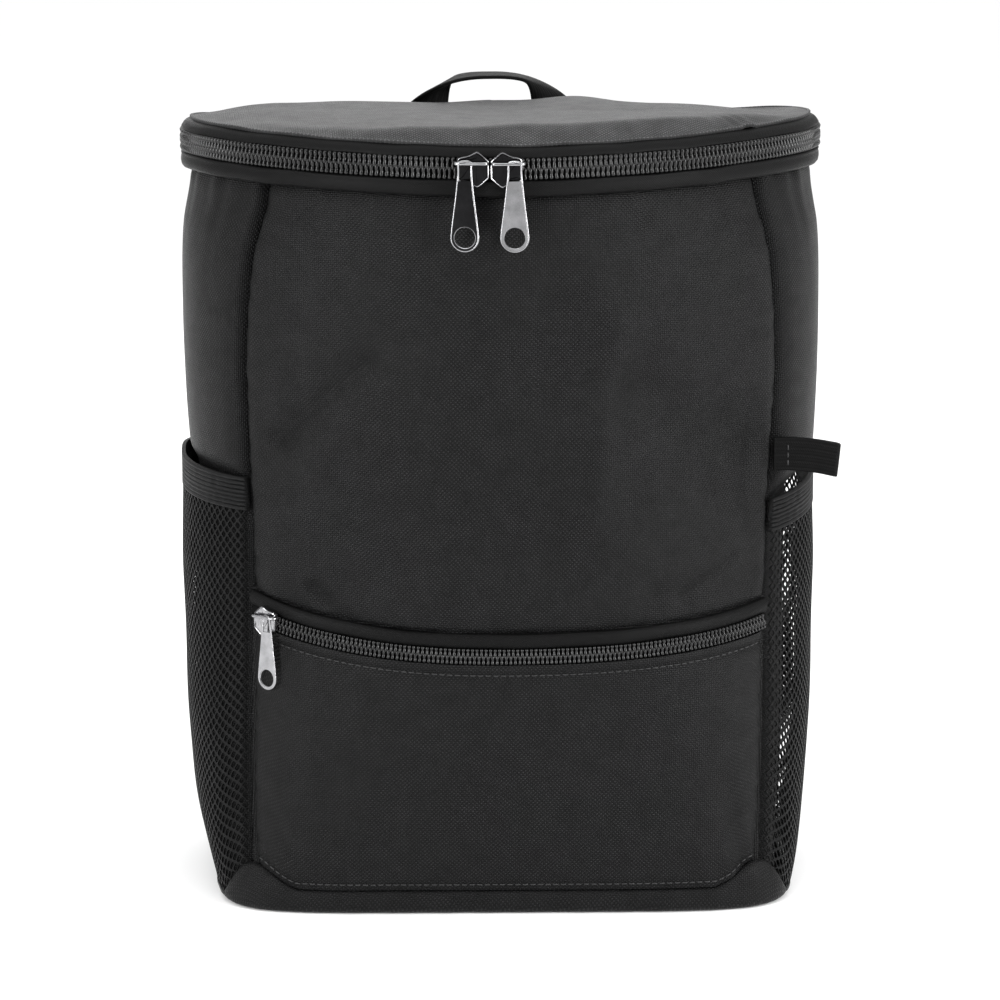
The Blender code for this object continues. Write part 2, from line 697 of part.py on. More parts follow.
def mesh_hem(side):
    """Elastic band along the mouth of a side pocket."""
    share = spread(0, 1, 13)
    around = mesh_around(side, share)
    low = hem_line(side, share)
    corners = ((0.0, 0.0), (0.0, HEM_HEIGHT), (HEM_THICKNESS, HEM_HEIGHT), (HEM_THICKNESS, 0.0))
    loops = [on_skin(low + rise, around, inset) for inset, rise in corners]
    swept("mesh_hem_" + side, np.stack(loops, axis=1), BLACK_WEBBING, 0.8)


def ribbon(name, path, across, thickness, colour=BLACK_WEBBING):
    """A flat strap along a path; across holds half its width at each point."""
    path = np.asarray(path, float)
    across = np.asarray(across, float)
    ahead = np.gradient(path, axis=0)
    out = np.cross(ahead, across)
    out *= thickness / 2 / np.linalg.norm(out, axis=1, keepdims=True)
    sides = (path + across + out, path - across + out, path - across - out, path + across - out)
    return swept(name, np.stack(sides, axis=1), colour, 0.8)


def back_face(x, height):
    """How far back the back panel's outer face lies at a place, twist included."""
    across = spread(2.0, 3.0, 41)
    line = wall_points(np.full(across.shape, height), across, 0.0)
    mirrored = wall_points(np.full(across.shape, height), -across, 0.0)
    both = np.concatenate((mirrored[:, :2], line[::-1, :2]))
    return float(np.interp(x, both[:, 0], both[:, 1]))


def seat_behind(x, half_width, low, high):
    """Outermost place of the back panel's face behind a patch that something lies on."""
    places = [x + half_width * share for share in spread(-1, 1, 5)]
    heights = [low + (high - low) * share for share in spread(0, 1, 5)]
    return GAP + max(back_face(place, height) for place in places for height in heights)


def carry_handle():
    """Webbing whose legs lie flat on the back panel and twist to lie flat over the crown."""
    turn = spread(0, math.pi, 19)
    half = HANDLE_SPAN / 2
    reach = half + HANDLE_WEBBING / 2 + abs(HANDLE_MIDDLE)
    foot = ZIP_HEIGHT - HANDLE_DROP
    crown = ZIP_HEIGHT + HANDLE_RISE
    seat = seat_behind(0.0, reach, foot, ZIP_HEIGHT) + HANDLE_THICKNESS / 2
    spring = crown - HANDLE_ARCH
    arch_x = HANDLE_MIDDLE - half * np.sign(np.cos(turn)) * np.abs(np.cos(turn)) ** 0.75
    arch_z = spring + HANDLE_ARCH * np.sin(turn) ** 0.8
    lean = HANDLE_LEAN * np.sin(turn) ** 2
    arch = np.stack((arch_x, seat + 2 * HANDLE_STEP + lean, arch_z), axis=1)
    left = HANDLE_MIDDLE - half
    free = (foot + HANDLE_SEWN + spring) / 2
    legs = np.array([(left, seat, foot), (left, seat, foot + HANDLE_SEWN), (left, seat + HANDLE_STEP, free)])
    other = legs[::-1].copy()
    other[:, 0] = 2 * HANDLE_MIDDLE - other[:, 0]
    path = np.concatenate((legs, arch, other))
    twist = np.concatenate((np.zeros(3), np.sin(turn) ** 1.5, np.zeros(3)))
    angle = np.radians(88) * twist
    side = np.concatenate((np.ones(3), np.cos(turn), -np.ones(3)))
    across = np.stack((np.cos(angle), np.sin(angle), 0.25 * np.sin(2 * angle) * side), axis=1)
    across *= HANDLE_WEBBING / 2 / np.linalg.norm(across, axis=1, keepdims=True)
    ribbon("carry_handle", path, across, HANDLE_THICKNESS)


def side_loop():
    """Short folded webbing that stands out of the right front seam."""
    start = on_skin(np.array(LOOP_HEIGHT), np.array(1.0), np.array(0.0))
    root = Vector(start) + Vector((GAP, -LOOP_FORWARD, 0))
    turn = spread(-math.pi / 2, math.pi / 2, 7)
    straight = LOOP_LENGTH - LOOP_FOLD
    fold_x = straight + LOOP_FOLD * np.cos(turn)
    fold_y = LOOP_FOLD * np.sin(turn)
    near = LOOP_THICKNESS / 2 + GAP / 2
    x = np.concatenate(((0, straight * 0.5), fold_x, (straight * 0.5, 0)))
    y = np.concatenate(((-near, -near * 1.5), fold_y, (near * 1.5, near)))
    droop = -LOOP_DROOP * (x / LOOP_LENGTH) ** 2
    path = np.stack((root.x + x, root.y + y, root.z + droop), axis=1)
    across = np.tile((0.0, 0.0, LOOP_WEBBING / 2), (len(path), 1))
    ribbon("side_loop", path, across, LOOP_THICKNESS)


def filled_plate(name, outline, holes, thickness):
    """A flat plate of the given outline with holes, in local x and z, thick along local y."""
    shape = bmesh.new()
    edges = []
    for loop in (outline, *holes):
        corners = [shape.verts.new((x, 0.0, z)) for x, z in loop]
        for a, b in zip(corners, corners[1:] + corners[:1]):
            edges.append(shape.edges.new((a, b)))
    filled = bmesh.ops.triangle_fill(shape, edges=edges, use_beauty=True)
    faces = [part for part in filled["geom"] if isinstance(part, bmesh.types.BMFace)]
    pushed = bmesh.ops.extrude_face_region(shape, geom=faces)
    moved = [part for part in pushed["geom"] if isinstance(part, bmesh.types.BMVert)]
    bmesh.ops.translate(shape, verts=moved, vec=(0, thickness, 0))
    bmesh.ops.recalc_face_normals(shape, faces=shape.faces)
    mesh = bpy.data.meshes.new(name)
    shape.to_mesh(mesh)
    shape.free()
    return mesh


def rod(name, points, radius, sides):
    """A round rod along a path in one plane, mitred at its corners, as a mesh."""
    path = np.asarray(points, float)
    ahead = np.gradient(path, axis=0)
    ahead /= np.linalg.norm(ahead, axis=1, keepdims=True)
    up = np.array((0.0, 0.0, 1.0))
    loops = []
    for spot, way in zip(path, ahead):
        side = np.cross(way, up)
        turn = 2 * math.pi * (np.arange(sides) + 0.5) / sides
        loops.append(spot + radius * (np.cos(turn)[:, None] * side + np.sin(turn)[:, None] * up))
    loops = np.array(loops)
    faces = cells(len(path), sides, wrap=True)
    faces.append(tuple(range(sides)))
    faces.append(tuple(range((len(path) - 1) * sides, len(path) * sides)))
    return closed_mesh(name, loops.reshape(-1, 3), faces)


def barrel(name, radius, width, sides):
    """A round bar along local x, centred on the origin, as a mesh."""
    turn = 2 * math.pi * (np.arange(sides) + 0.5) / sides
    ends = [np.stack((np.full(sides, x), radius * np.cos(turn), radius * np.sin(turn)), axis=1)
            for x in (-width / 2, width / 2)]
    faces = cells(2, sides, wrap=True)
    faces.append(tuple(range(sides)))
    faces.append(tuple(range(sides, 2 * sides)))
    return closed_mesh(name, np.concatenate(ends), faces)


def boolean(thing, cutter_mesh, place, operation, name):
    """Join or cut a piece with a hidden helper shape."""
    helper = bpy.data.objects.new(name, cutter_mesh)
    bpy.context.scene.collection.objects.link(helper)
    helper.matrix_world = place
    helper.hide_render = True
    helper.display_type = "WIRE"
    step = thing.modifiers.new(name, "BOOLEAN")
    step.object = helper
    step.operation = operation
    step.solver = "EXACT"


def local_frame(spot, out):
    """Matrix of a small part on the skin: local x along the zip, local -y outwards."""
    out = Vector((out[0], out[1], 0.0)).normalized()
    along = Vector((-out.y, out.x, 0.0))
    turn = Matrix((along, -out, Vector((0, 0, 1)))).transposed().to_4x4()
    return Matrix.Translation(Vector(spot)) @ turn


def slider_set(name, pull_name, around, height_of, level, crown_side, scale):
    """A slider on a zip, its crown bar, and the pull that hangs on the bar."""
    length = SLIDER_LENGTH * scale
    radius = CROWN_RADIUS
    eye_outer = radius + EYE_CLEAR + EYE_WALL
    plate_face = CHAIN_PROUD + SLIDER_CLEAR + SLIDER_PLATE
    axis_out = plate_face + eye_outer + EYE_CLEAR
    rise = CROWN_RISE * scale
    at = np.array(around)
    middle = height_of(at)
    spot = on_skin(middle, at, 0.0, level)
    ahead = on_skin(middle, at + 0.02, 0.0, level) - on_skin(middle, at - 0.02, 0.0, level)
    out = np.array((ahead[1], -ahead[0]))
    out /= np.linalg.norm(out)
    seat = local_frame(spot, out)
    rows = dict(zip(SLIDER_COLUMNS, np.array(SLIDER_PLATE_OUTLINE).T))
    along = crown_side * length * (0.5 - rows["along"])
    half = SLIDER_HEIGHT * scale / 2 * rows["half_height"]
    outline = list(zip(along, half)) + list(zip(along[::-1], -half[::-1]))
    plate = filled_plate(name, outline, (), SLIDER_PLATE)
    place = seat @ Matrix.Translation((0, -plate_face, 0))
    slider = finish(name, plate, GUNMETAL, 0.30, 1.0, place)
    reach = EYE_WIDTH * scale / 2 + EYE_CLEAR + radius
    eye_x = crown_side * (length / 2 - reach + radius)
    outer = eye_x + crown_side * reach
    inner = eye_x - crown_side * (reach + EYE_WIDTH * scale * 0.9)
    bar = axis_out
    depth = plate_face - SLIDER_PLATE / 2
    corner = radius * 0.9
    step = crown_side * corner
    path = (
        (outer, -depth, 0),
        (outer, -bar + corner, 0),
        (outer - step, -bar, 0),
        (inner + step, -bar, 0),
        (inner, -bar + corner, 0),
        (inner, -depth, 0),
    )
    crown = rod(name + "_crown", path, radius, 8)
    boolean(slider, crown, seat @ Matrix.Translation((0, 0, rise)), "UNION", name + "_crown")
    axis_place = seat @ Matrix.Translation((eye_x, -axis_out, rise))
    pull(pull_name, axis_place, scale, eye_outer)


def pull(name, place, scale, eye_outer):
    """A flat pull with a knuckle round the crown bar, a window below it and a round hole."""
    length = PULL_LENGTH * scale
    half_width = PULL_WIDTH * scale / 2
    round_z = -(length - half_width)
    rows = dict(zip(PULL_COLUMNS, np.array(PULL_OUTLINE).T))
    right = [(half_width * w, -length * a) for a, w in zip(rows["along"], rows["half_width"])]
    turn = spread(0.15, math.pi - 0.15, 9)
    bottom = [(half_width * math.cos(t), round_z - half_width * math.sin(t)) for t in turn]
    left = [(-x, z) for x, z in reversed(right)]
    outline = right + bottom + left
    hole_turn = 2 * math.pi * np.arange(12) / 12
    hole_radius = PULL_HOLE * scale
    hole = [(hole_radius * math.cos(t), round_z + hole_radius * math.sin(t)) for t in hole_turn]
    window_half = EYE_WIDTH * scale * 0.28
    window_top = -(eye_outer + GAP)
    window_low = -length * 0.19
    window = [(-window_half, window_top), (window_half, window_top),
              (window_half, window_low), (-window_half, window_low)]
    plate = filled_plate(name, outline, (hole, window), PULL_THICKNESS)
    plate.transform(Matrix.Translation((0, -PULL_THICKNESS / 2, 0)))
    tab = finish(name, plate, GUNMETAL, 0.30, 1.0, place)
    width = EYE_WIDTH * scale
    boolean(tab, barrel(name + "_knuckle", eye_outer, width, 14), place, "UNION", name + "_knuckle")
    bore = barrel(name + "_bore", CROWN_RADIUS + EYE_CLEAR, width * 2, 14)
    boolean(tab, bore, place, "DIFFERENCE", name + "_bore")


def sliders():
    """Two sliders nose to nose on the main zip and one on the pocket zip."""
    one = np.array(1.0)
    places = on_skin(band_height(np.array((0.0, MAIN_MEETING))), np.array((0.0, MAIN_MEETING)), 0.0, one)
    per_metre = -MAIN_MEETING / np.linalg.norm(places[1] - places[0])
    half_around = (SLIDER_LENGTH + SLIDER_NOSES) / 2 * per_metre
    slider_set("main_slider_left", "main_pull_left", MAIN_MEETING - half_around, band_height, one, -1, 1)
    slider_set("main_slider_right", "main_pull_right", MAIN_MEETING + half_around, band_height, one, 1, 1)
    slider_set("pocket_slider", "pocket_pull", POCKET_SLIDER_AT, pocket_zip_height, None, 1,
               POCKET_SLIDER_SCALE)


def strap_line(sign, share):
    """Middle of a shoulder strap from its top seam (0) to its lower end (1)."""
    x = sign * (STRAP_TOP_X + (STRAP_FOOT_X - STRAP_TOP_X) * share ** 1.4)
    top = ZIP_HEIGHT - STRAP_DROP
    height = top + (STRAP_FOOT - top) * share
    bow = STRAP_BOW * math.sin(math.pi * share * 0.82) ** 0.8
    return x, height, bow


def shoulder_strap(side):
    """Padded strap, its tail webbing, the adjuster between them and the anchor at the foot."""
    sign = -1 if side == "left" else 1
    shares = spread(0, 1, 15)
    middles = []
    for share in shares:
        x, height, bow = strap_line(sign, share)
        seat = seat_behind(x, STRAP_WIDTH / 2, height, height) + STRAP_THICKNESS / 2
        middles.append((x, seat + bow, height))
    middles = np.array(middles)
    ahead = np.gradient(middles, axis=0)
    across = np.cross(ahead, (0, 1, 0))
    across /= np.linalg.norm(across, axis=1, keepdims=True)
    out = np.cross(across, ahead)
    out /= np.linalg.norm(out, axis=1, keepdims=True)
    taper = 1 - 0.35 * np.clip((shares - 0.75) / 0.25, 0, 1) ** 2
    half = STRAP_WIDTH / 2 * taper[:, None]
    corners = ((1.0, 0.18), (0.86, 0.5), (0.0, 0.5), (-0.86, 0.5),
               (-1.0, 0.18), (-1.0, -0.18), (-0.86, -0.5), (0.0, -0.5), (0.86, -0.5), (1.0, -0.18))
    loops = [middles + across * half * u + out * STRAP_THICKNESS * v for u, v in corners]
    swept("shoulder_strap_" + side, np.stack(loops, axis=1))
    strap_tail(side, sign, middles[-1], middles[-1] - middles[-2])


def strap_tail(side, sign, strap_end, way):
    """Adjuster, webbing and anchor below a shoulder strap, in line with the strap's end."""
    half = TAIL_WEBBING / 2 * ANCHOR_WIDER
    low, high = TAIL_FOOT - ANCHOR_HEIGHT / 2, TAIL_FOOT + ANCHOR_HEIGHT / 2
    face = seat_behind(sign * TAIL_FOOT_X, half, low, high)
    anchor_y = face + ANCHOR_THICKNESS / 2
    path = np.array([(sign * TAIL_FOOT_X, anchor_y, low), (sign * TAIL_FOOT_X, anchor_y, high)])
    ribbon("strap_anchor_" + side, path, np.tile((half, 0.0, 0.0), (2, 1)), ANCHOR_THICKNESS)
    foot_y = face + ANCHOR_THICKNESS + GAP + TAIL_THICKNESS
    foot = np.array((sign * TAIL_FOOT_X, foot_y, TAIL_FOOT - ANCHOR_HEIGHT / 4))
    way = way / np.linalg.norm(way)
    side_way = np.cross(way, (0, 1, 0))
    side_way /= np.linalg.norm(side_way)
    top = strap_end + way * GAP
    path = np.array([top, top + way * ADJUSTER_HEIGHT])
    across = np.tile(side_way * ADJUSTER_WIDTH / 2, (2, 1))
    ribbon("strap_adjuster_" + side, path, across, ADJUSTER_THICKNESS, BLACK_COIL)
    start = path[1] + way * GAP
    span = np.linalg.norm(foot - start)
    t = spread(0, 1, 9)[:, None]
    pull_in = 3 * t * (1 - t) ** 2 * (start + way * span / 3)
    pull_out = 3 * t ** 2 * (1 - t) * (foot + np.array((0, TAIL_SLACK, 1.0)) * span / 3)
    path = (1 - t) ** 3 * start + pull_in + pull_out + t ** 3 * foot
    ahead = np.gradient(path, axis=0)
    across = np.cross(ahead, (0, 1, 0))
    across *= TAIL_WEBBING / 2 / np.linalg.norm(across, axis=1, keepdims=True)
    across[0] = side_way * TAIL_WEBBING / 2
    ribbon("strap_webbing_" + side, path, across, TAIL_THICKNESS)


def build():
    """Make every piece."""
    front_panel()
    back_panel()
    base_panel()
    lid_panel()
    band()
    front_pocket()
    carry_handle()
    side_loop()
    sliders()
    for side in ("left", "right"):
        side_panel(side)
        mesh_pocket(side)
        mesh_hem(side)
        shoulder_strap(side)


build()
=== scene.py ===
"""Looks of the cooler backpack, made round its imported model. Front towards -Y, +X right, +Z up, metres.

The bag is one upright skin of superellipse sections. A place on it is a height and an "around" number:
0 is the front centre, 1 and -1 the front seams, 2 and -2 the back seams, 3 and -3 the back centre.
The cloth pieces are grids of points on that skin, set in by a depth that is a function of the two.
"""
import math

import bmesh
import bpy
import numpy as np
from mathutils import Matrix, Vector


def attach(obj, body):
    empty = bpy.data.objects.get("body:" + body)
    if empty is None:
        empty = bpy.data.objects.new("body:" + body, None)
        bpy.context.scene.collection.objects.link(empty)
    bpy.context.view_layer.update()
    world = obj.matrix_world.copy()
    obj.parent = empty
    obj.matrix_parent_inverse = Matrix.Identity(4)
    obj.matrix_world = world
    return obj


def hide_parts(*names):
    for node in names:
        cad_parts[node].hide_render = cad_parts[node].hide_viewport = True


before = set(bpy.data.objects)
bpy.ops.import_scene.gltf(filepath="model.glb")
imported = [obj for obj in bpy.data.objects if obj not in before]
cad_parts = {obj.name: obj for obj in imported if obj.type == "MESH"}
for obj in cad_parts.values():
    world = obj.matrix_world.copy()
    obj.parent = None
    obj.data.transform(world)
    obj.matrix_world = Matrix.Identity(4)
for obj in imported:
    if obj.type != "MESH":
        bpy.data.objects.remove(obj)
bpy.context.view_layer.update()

# Sizes of the bag, most of them those of its solids
BAG_WIDTH = 0.285
FRONT_REACH = 0.105
BACK_REACH = 0.060
WIDEST_Y = 0.020
ZIP_HEIGHT = 0.3387
LID_RISE = 0.0118
LID_THICKNESS = 0.005
WALL = 0.005
CLOTH = 0.0012
GAP = 0.0003
BASE_LIP = 0.010
BASE_ROUND = 0.003
BASE_TWIST = math.radians(-4.5)
# The base's lip: rise to its point at a front corner, fall behind it, and rise towards the back
LIP_POINT = 0.0105
LIP_FALL = 0.0165
LIP_BACK = 0.006
BACK_CORNER = 5.0
BACK_SEAM = 0.80
PINCH_LEVEL = 0.945
SEAM_STEP = 0.003
FRONT_SEAM_DEPTH = 0.0070
SIDE_SEAM_DEPTH = 0.0080
# How far the filled sides stand out of the sections
FULL_RIGHT = 0.0026
FULL_LEFT = 0.0004
SECTION_COLUMNS = ("level", "width", "front", "back", "square", "seam")
SECTIONS = (
    (0.000, 0.915, 0.868, 0.94, 6.20, 0.858),
    (0.035, 0.936, 0.882, 0.96, 5.20, 0.855),
    (0.100, 0.962, 0.905, 0.98, 3.80, 0.842),
    (0.220, 0.982, 0.935, 1.00, 2.95, 0.830),
    (0.400, 0.976, 0.965, 1.00, 2.35, 0.838),
    (0.520, 0.980, 0.975, 1.00, 2.25, 0.842),
    (0.620, 0.994, 0.985, 1.00, 2.15, 0.842),
    (0.760, 1.004, 0.990, 1.00, 2.05, 0.840),
    (0.880, 0.997, 0.985, 1.00, 1.98, 0.815),
    (0.945, 0.977, 0.970, 0.99, 1.92, 0.790),
    (1.000, 1.000, 1.000, 1.00, 1.90, 0.782),
)
BAND_COLUMNS = ("around", "rise")
BAND = ((0.0, -0.29), (0.6, -0.13), (1.0, 0.00), (1.4, 0.00), (2.0, -0.80), (3.0, -1.04))
STRIP_HEIGHT = 0.0075
STRIP_DEPTH = 0.006
CHAIN_WIDTH = 0.0094
CHAIN_PITCH = 0.0023
TAPE = 0.0010
TAPE_WIDTH = 0.015
STRIP_CLOTH = 0.0018
LID_TILT = 0.050
LID_WARP = 0.055
LID_COLUMNS = ("reach", "share")
LID_ROLL = (
    (0.00, 1.00),
    (0.60, 1.00),
    (0.84, 1.00),
    (0.895, 0.98),
    (0.920, 0.90),
    (0.945, 0.66),
    (0.970, 0.30),
    (0.988, 0.07),
    (1.00, 0.00),
)
# The lid's rear half swells right of the middle and sinks at its left end, and both ends droop
LID_SWELL = 0.0030
LID_SINK = 0.0016
# The upper strip is an arc this long, which leans in from the first of these slopes to the second
LEAN_SPAN = 0.0070
LEAN_LOW = math.radians(16)
LEAN_HIGH = math.radians(80)
# Depth of its hidden edge, and the share of the lower strip's depths that its other corners have
LEAN_DEPTH = 0.003
LEAN_SHARE = 0.2
POCKET_TOP = 0.1170
POCKET_DIP = 0.0105
POCKET_LEAN = 0.0035
POCKET_ROOM = 0.0075
POCKET_BULGE = 0.0022
POCKET_CHAIN = 0.0072
POCKET_PITCH = 0.0020
POCKET_FLAP = 0.0068
POCKET_TAPE = 0.0007
POCKET_SPREAD = 0.985
HEM_HEIGHT = 0.015
HEM_THICKNESS = 0.0020
# How far each side wall is pressed in behind its net, and how far under the hem's top that ends
MESH_ROOM = {"left": -0.0036, "right": 0.00855}
MESH_ROOM_END = {"left": 0.028, "right": 0.004}
MESH_SEAT = 0.0012
MESH_SPREAD = 0.012
MESH_FOOT = 0.0045
MESH_SLACK = 0.0008
MESH_THICKNESS = 0.0007
MESH_COLUMNS = 34
MESH_ROWS = 36
# How far the slack net hangs out of each side, by height
BULGE_COLUMNS = ("height", "left", "right")
NET_BULGE = (
    (0.008, 0.0000, 0.0000),
    (0.037, 0.0034, 0.0002),
    (0.064, 0.0044, 0.0004),
    (0.105, 0.0054, 0.0012),
    (0.146, 0.0066, 0.0022),
    (0.174, 0.0054, 0.0012),
    (0.195, 0.0040, 0.0006),
    (0.215, 0.0030, 0.0004),
)
HEM_EDGES = {"left": (0.1795, 0.1770), "right": (0.1660, 0.1770)}
HANDLE_WEBBING = 0.0195
HANDLE_THICKNESS = 0.0016
HANDLE_SPAN = 0.0590
HANDLE_DROP = 0.0207
HANDLE_SEWN = 0.010
HANDLE_RISE = 0.0190
HANDLE_ARCH = 0.018
HANDLE_LEAN = 0.004
HANDLE_STEP = 0.002
HANDLE_MIDDLE = 0.0018
LOOP_WEBBING = 0.0150
LOOP_THICKNESS = 0.0011
LOOP_LENGTH = 0.0270
LOOP_HEIGHT = 0.2020
LOOP_FOLD = 0.0016
LOOP_FORWARD = 0.0022
LOOP_DROOP = 0.0035
SLIDER_LENGTH = 0.0136
SLIDER_HEIGHT = 0.0154
CROWN_RADIUS = 0.0007
CROWN_RISE = 0.0027
EYE_REACH = 0.0017
EYE_WIDTH = 0.0060
PULL_LENGTH = 0.0382
PULL_WIDTH = 0.0128
PULL_HOLE = 0.0048
# The pull's sunk face: share of the length above it, which the eye's opening takes, and its thickness
WEB_TOP = 0.19
WEB_THICKNESS = 0.0009
PLATE_FACE = 0.0028
MAIN_MEETING = -0.116
SLIDER_NOSES = 0.0004
POCKET_SLIDER_AT = -0.905
POCKET_SLIDER_SCALE = 0.86
STRAP_WIDTH = 0.055
STRAP_THICKNESS = 0.009
STRAP_DROP = 0.0207
STRAP_FOOT = 0.118
STRAP_TOP_X = 0.036
STRAP_FOOT_X = 0.080
STRAP_BOW = 0.020
TAIL_WEBBING = 0.025
TAIL_THICKNESS = 0.0014
TAIL_FOOT = 0.034
TAIL_FOOT_X = 0.094
TAIL_SLACK = 0.25
ADJUSTER_HEIGHT = 0.022
ADJUSTER_WIDTH = 0.034
ANCHOR_HEIGHT = 0.026
ANCHOR_WIDER = 1.1
ANCHOR_THICKNESS = 0.0020

# Length of cloth, in metres, for one step of around
PANEL_ARC = 0.120

# The floor and the camera
FLOOR_REACH = 30
FLOOR_Z = -0.0004
CAMERA_AZIMUTH = math.radians(-5.5)
CAMERA_ELEVATION = math.radians(12)
CAMERA_AIM = (-0.0016, 0.0, 0.174)
CAMERA_DISTANCE = 1.95
CAMERA_LENS = 154.3

# Dents and folds of the front panel:
# from and to as around and height share, width and depth as shares of their sizes
FOLD_WIDTH = 0.020
FOLD_DEPTH = 0.0048
FRONT_FOLDS = (
    (-0.84, 0.640, -0.52, 0.740, 0.45, 0.45),
    (-0.86, 0.632, -0.50, 0.745, 0.14, 0.16),
    (0.26, 0.520, 0.32, 0.780, 0.55, -0.45),
    (0.42, 0.690, 0.95, 0.540, 0.90, 0.90),
    (0.80, 0.660, 0.94, 0.620, 0.70, 0.70),
    (-0.90, 0.450, -0.84, 0.520, 0.60, -0.40),
    (-0.40, 0.420, -0.15, 0.510, 0.70, -0.35),
    (0.50, 0.425, 0.90, 0.435, 0.35, 0.35),
    (-0.72, 0.440, -0.68, 0.425, 0.20, 0.45),
    (0.62, 0.425, 0.80, 0.470, 0.16, 0.22),
    (0.02, 0.600, 0.10, 0.860, 0.80, 0.25),
    (-0.30, 0.700, -0.22, 0.880, 0.60, -0.14),
)

STEPS = np.linspace(0.0, 1.0, 241)


def smooth(table, columns, wanted, at):
    """A column of a table at the given places, joined by cubic curves through its rows."""
    rows = np.array(table)
    places = rows[:, 0]
    values = rows[:, columns.index(wanted)]
    slopes = np.gradient(values, places)
    at = np.clip(np.asarray(at, float), places[0], places[-1])
    i = np.clip(np.searchsorted(places, at, side="right") - 1, 0, len(places) - 2)
    span = places[i + 1] - places[i]
    t = (at - places[i]) / span
    rise = values[i + 1] - values[i]
    bend = t * (1 - t) * ((1 - t) * (slopes[i] * span - rise) - t * (slopes[i + 1] * span - rise))
    return values[i] + rise * t + bend


def half_outline(level):
    """Right half of a section, front centre to back centre, at even shares of each panel.

    In front x = w sin(t)^(2/n) and y = c - f cos(t)^(2/n); the back is the same with its own power.
    """
    half_width = BAG_WIDTH / 2 * smooth(SECTIONS, SECTION_COLUMNS, "width", level)
    front = FRONT_REACH * smooth(SECTIONS, SECTION_COLUMNS, "front", level)
    back = BACK_REACH * smooth(SECTIONS, SECTION_COLUMNS, "back", level)
    square = smooth(SECTIONS, SECTION_COLUMNS, "square", level)
    seam = smooth(SECTIONS, SECTION_COLUMNS, "seam", level)
    turn = np.linspace(0.0, math.pi / 2, 900)
    front_x = half_width * np.sin(turn) ** (2 / square)
    front_y = WIDEST_Y - front * np.cos(turn) ** (2 / square)
    back_x = half_width * np.cos(turn) ** (2 / BACK_CORNER)
    back_y = WIDEST_Y + back * np.sin(turn) ** (2 / BACK_CORNER)
    x = np.concatenate((front_x, back_x[1:]))
    y = np.concatenate((front_y, back_y[1:]))
    length = np.concatenate(([0.0], np.cumsum(np.hypot(np.diff(x), np.diff(y)))))
    widest = len(front_x)
    at_seam = np.interp(seam * half_width, x[:widest], length[:widest])
    at_back = np.interp(-BACK_SEAM * half_width, -x[widest:], length[widest:])
    marks = np.array((0.0, at_seam, at_back, length[-1]))
    wanted = np.interp(3 * STEPS, (0, 1, 2, 3), marks)
    return np.interp(wanted, length, x), np.interp(wanted, length, y)


OUTLINES = np.array([half_outline(level) for level in STEPS])


def skin(level, around):
    """Place and outward direction on the skin, in plan: the outlines blended between their steps."""
    def plan(at):
        row = np.clip(level, 0.0, 1.0) * (len(STEPS) - 1)
        column = np.clip(np.abs(at), 0.0, 3.0) / 3 * (len(STEPS) - 1)
        r = np.minimum(row.astype(int), len(STEPS) - 2)
        c = np.minimum(column.astype(int), len(STEPS) - 2)
        u, v = row - r, column - c
        grid = OUTLINES
        found = [
            (grid[r, k, c] * (1 - v) + grid[r, k, c + 1] * v) * (1 - u)
            + (grid[r + 1, k, c] * (1 - v) + grid[r + 1, k, c + 1] * v) * u
            for k in (0, 1)
        ]
        return np.stack((found[0] * np.where(at < 0, -1.0, 1.0), found[1]), axis=-1)

    level, around = np.broadcast_arrays(np.asarray(level, float), np.asarray(around, float))
    here = plan(around)
    reach = 0.06
    ahead = plan(np.clip(around + reach, -3, 3)) - plan(np.clip(around - reach, -3, 3))
    ahead /= np.linalg.norm(ahead, axis=-1, keepdims=True)
    return here, np.stack((ahead[..., 1], -ahead[..., 0]), axis=-1)


def on_skin(height, around, inset, level=None):
    """Points at a height, set in from the skin; the base's twist fades out by mid height."""
    height, around, inset = np.broadcast_arrays(height, around, inset)
    if level is None:
        level = height / ZIP_HEIGHT
    here, out = skin(level, around)
    side = np.abs(around)
    full = np.where(around > 0, FULL_RIGHT, FULL_LEFT) * step_up(height, 0.03, 0.17)
    full = full * step_up(side, 0.95, 1.3) * (1 - step_up(side, 1.9, 2.3))
    flat = here - out * (inset - full)[..., None]
    fade = np.clip(1 - height / (0.75 * ZIP_HEIGHT), 0.0, 1.0)
    turn = BASE_TWIST * fade * fade * (3 - 2 * fade)
    x = flat[..., 0] * np.cos(turn) - flat[..., 1] * np.sin(turn)
    y = flat[..., 0] * np.sin(turn) + flat[..., 1] * np.cos(turn)
    return np.stack((x, y, height), axis=-1)


def wall_points(height, around, inset):
    """Points of the walls, which stay pinched in under the band instead of flaring out with it."""
    return on_skin(height, around, inset, np.minimum(np.asarray(height) / ZIP_HEIGHT, PINCH_LEVEL))


def band_points(height, around, inset):
    """Points of the band that carries the main zip."""
    return on_skin(height, around, inset, np.ones(np.broadcast(height, around, inset).shape))


def band_height(around):
    """Height of the middle of the main zip."""
    return ZIP_HEIGHT + STRIP_HEIGHT * smooth(BAND, BAND_COLUMNS, "rise", np.abs(around))


def strip_edge(side):
    """Far edge of a strip, from the middle of the zip: 1 above, -1 below."""
    return side * (CHAIN_WIDTH / 2 + GAP + STRIP_HEIGHT)


def rim_height(around):
    """Height of the lid's seam, at the top of the upper strip."""
    return band_height(around) + RIM_RISE


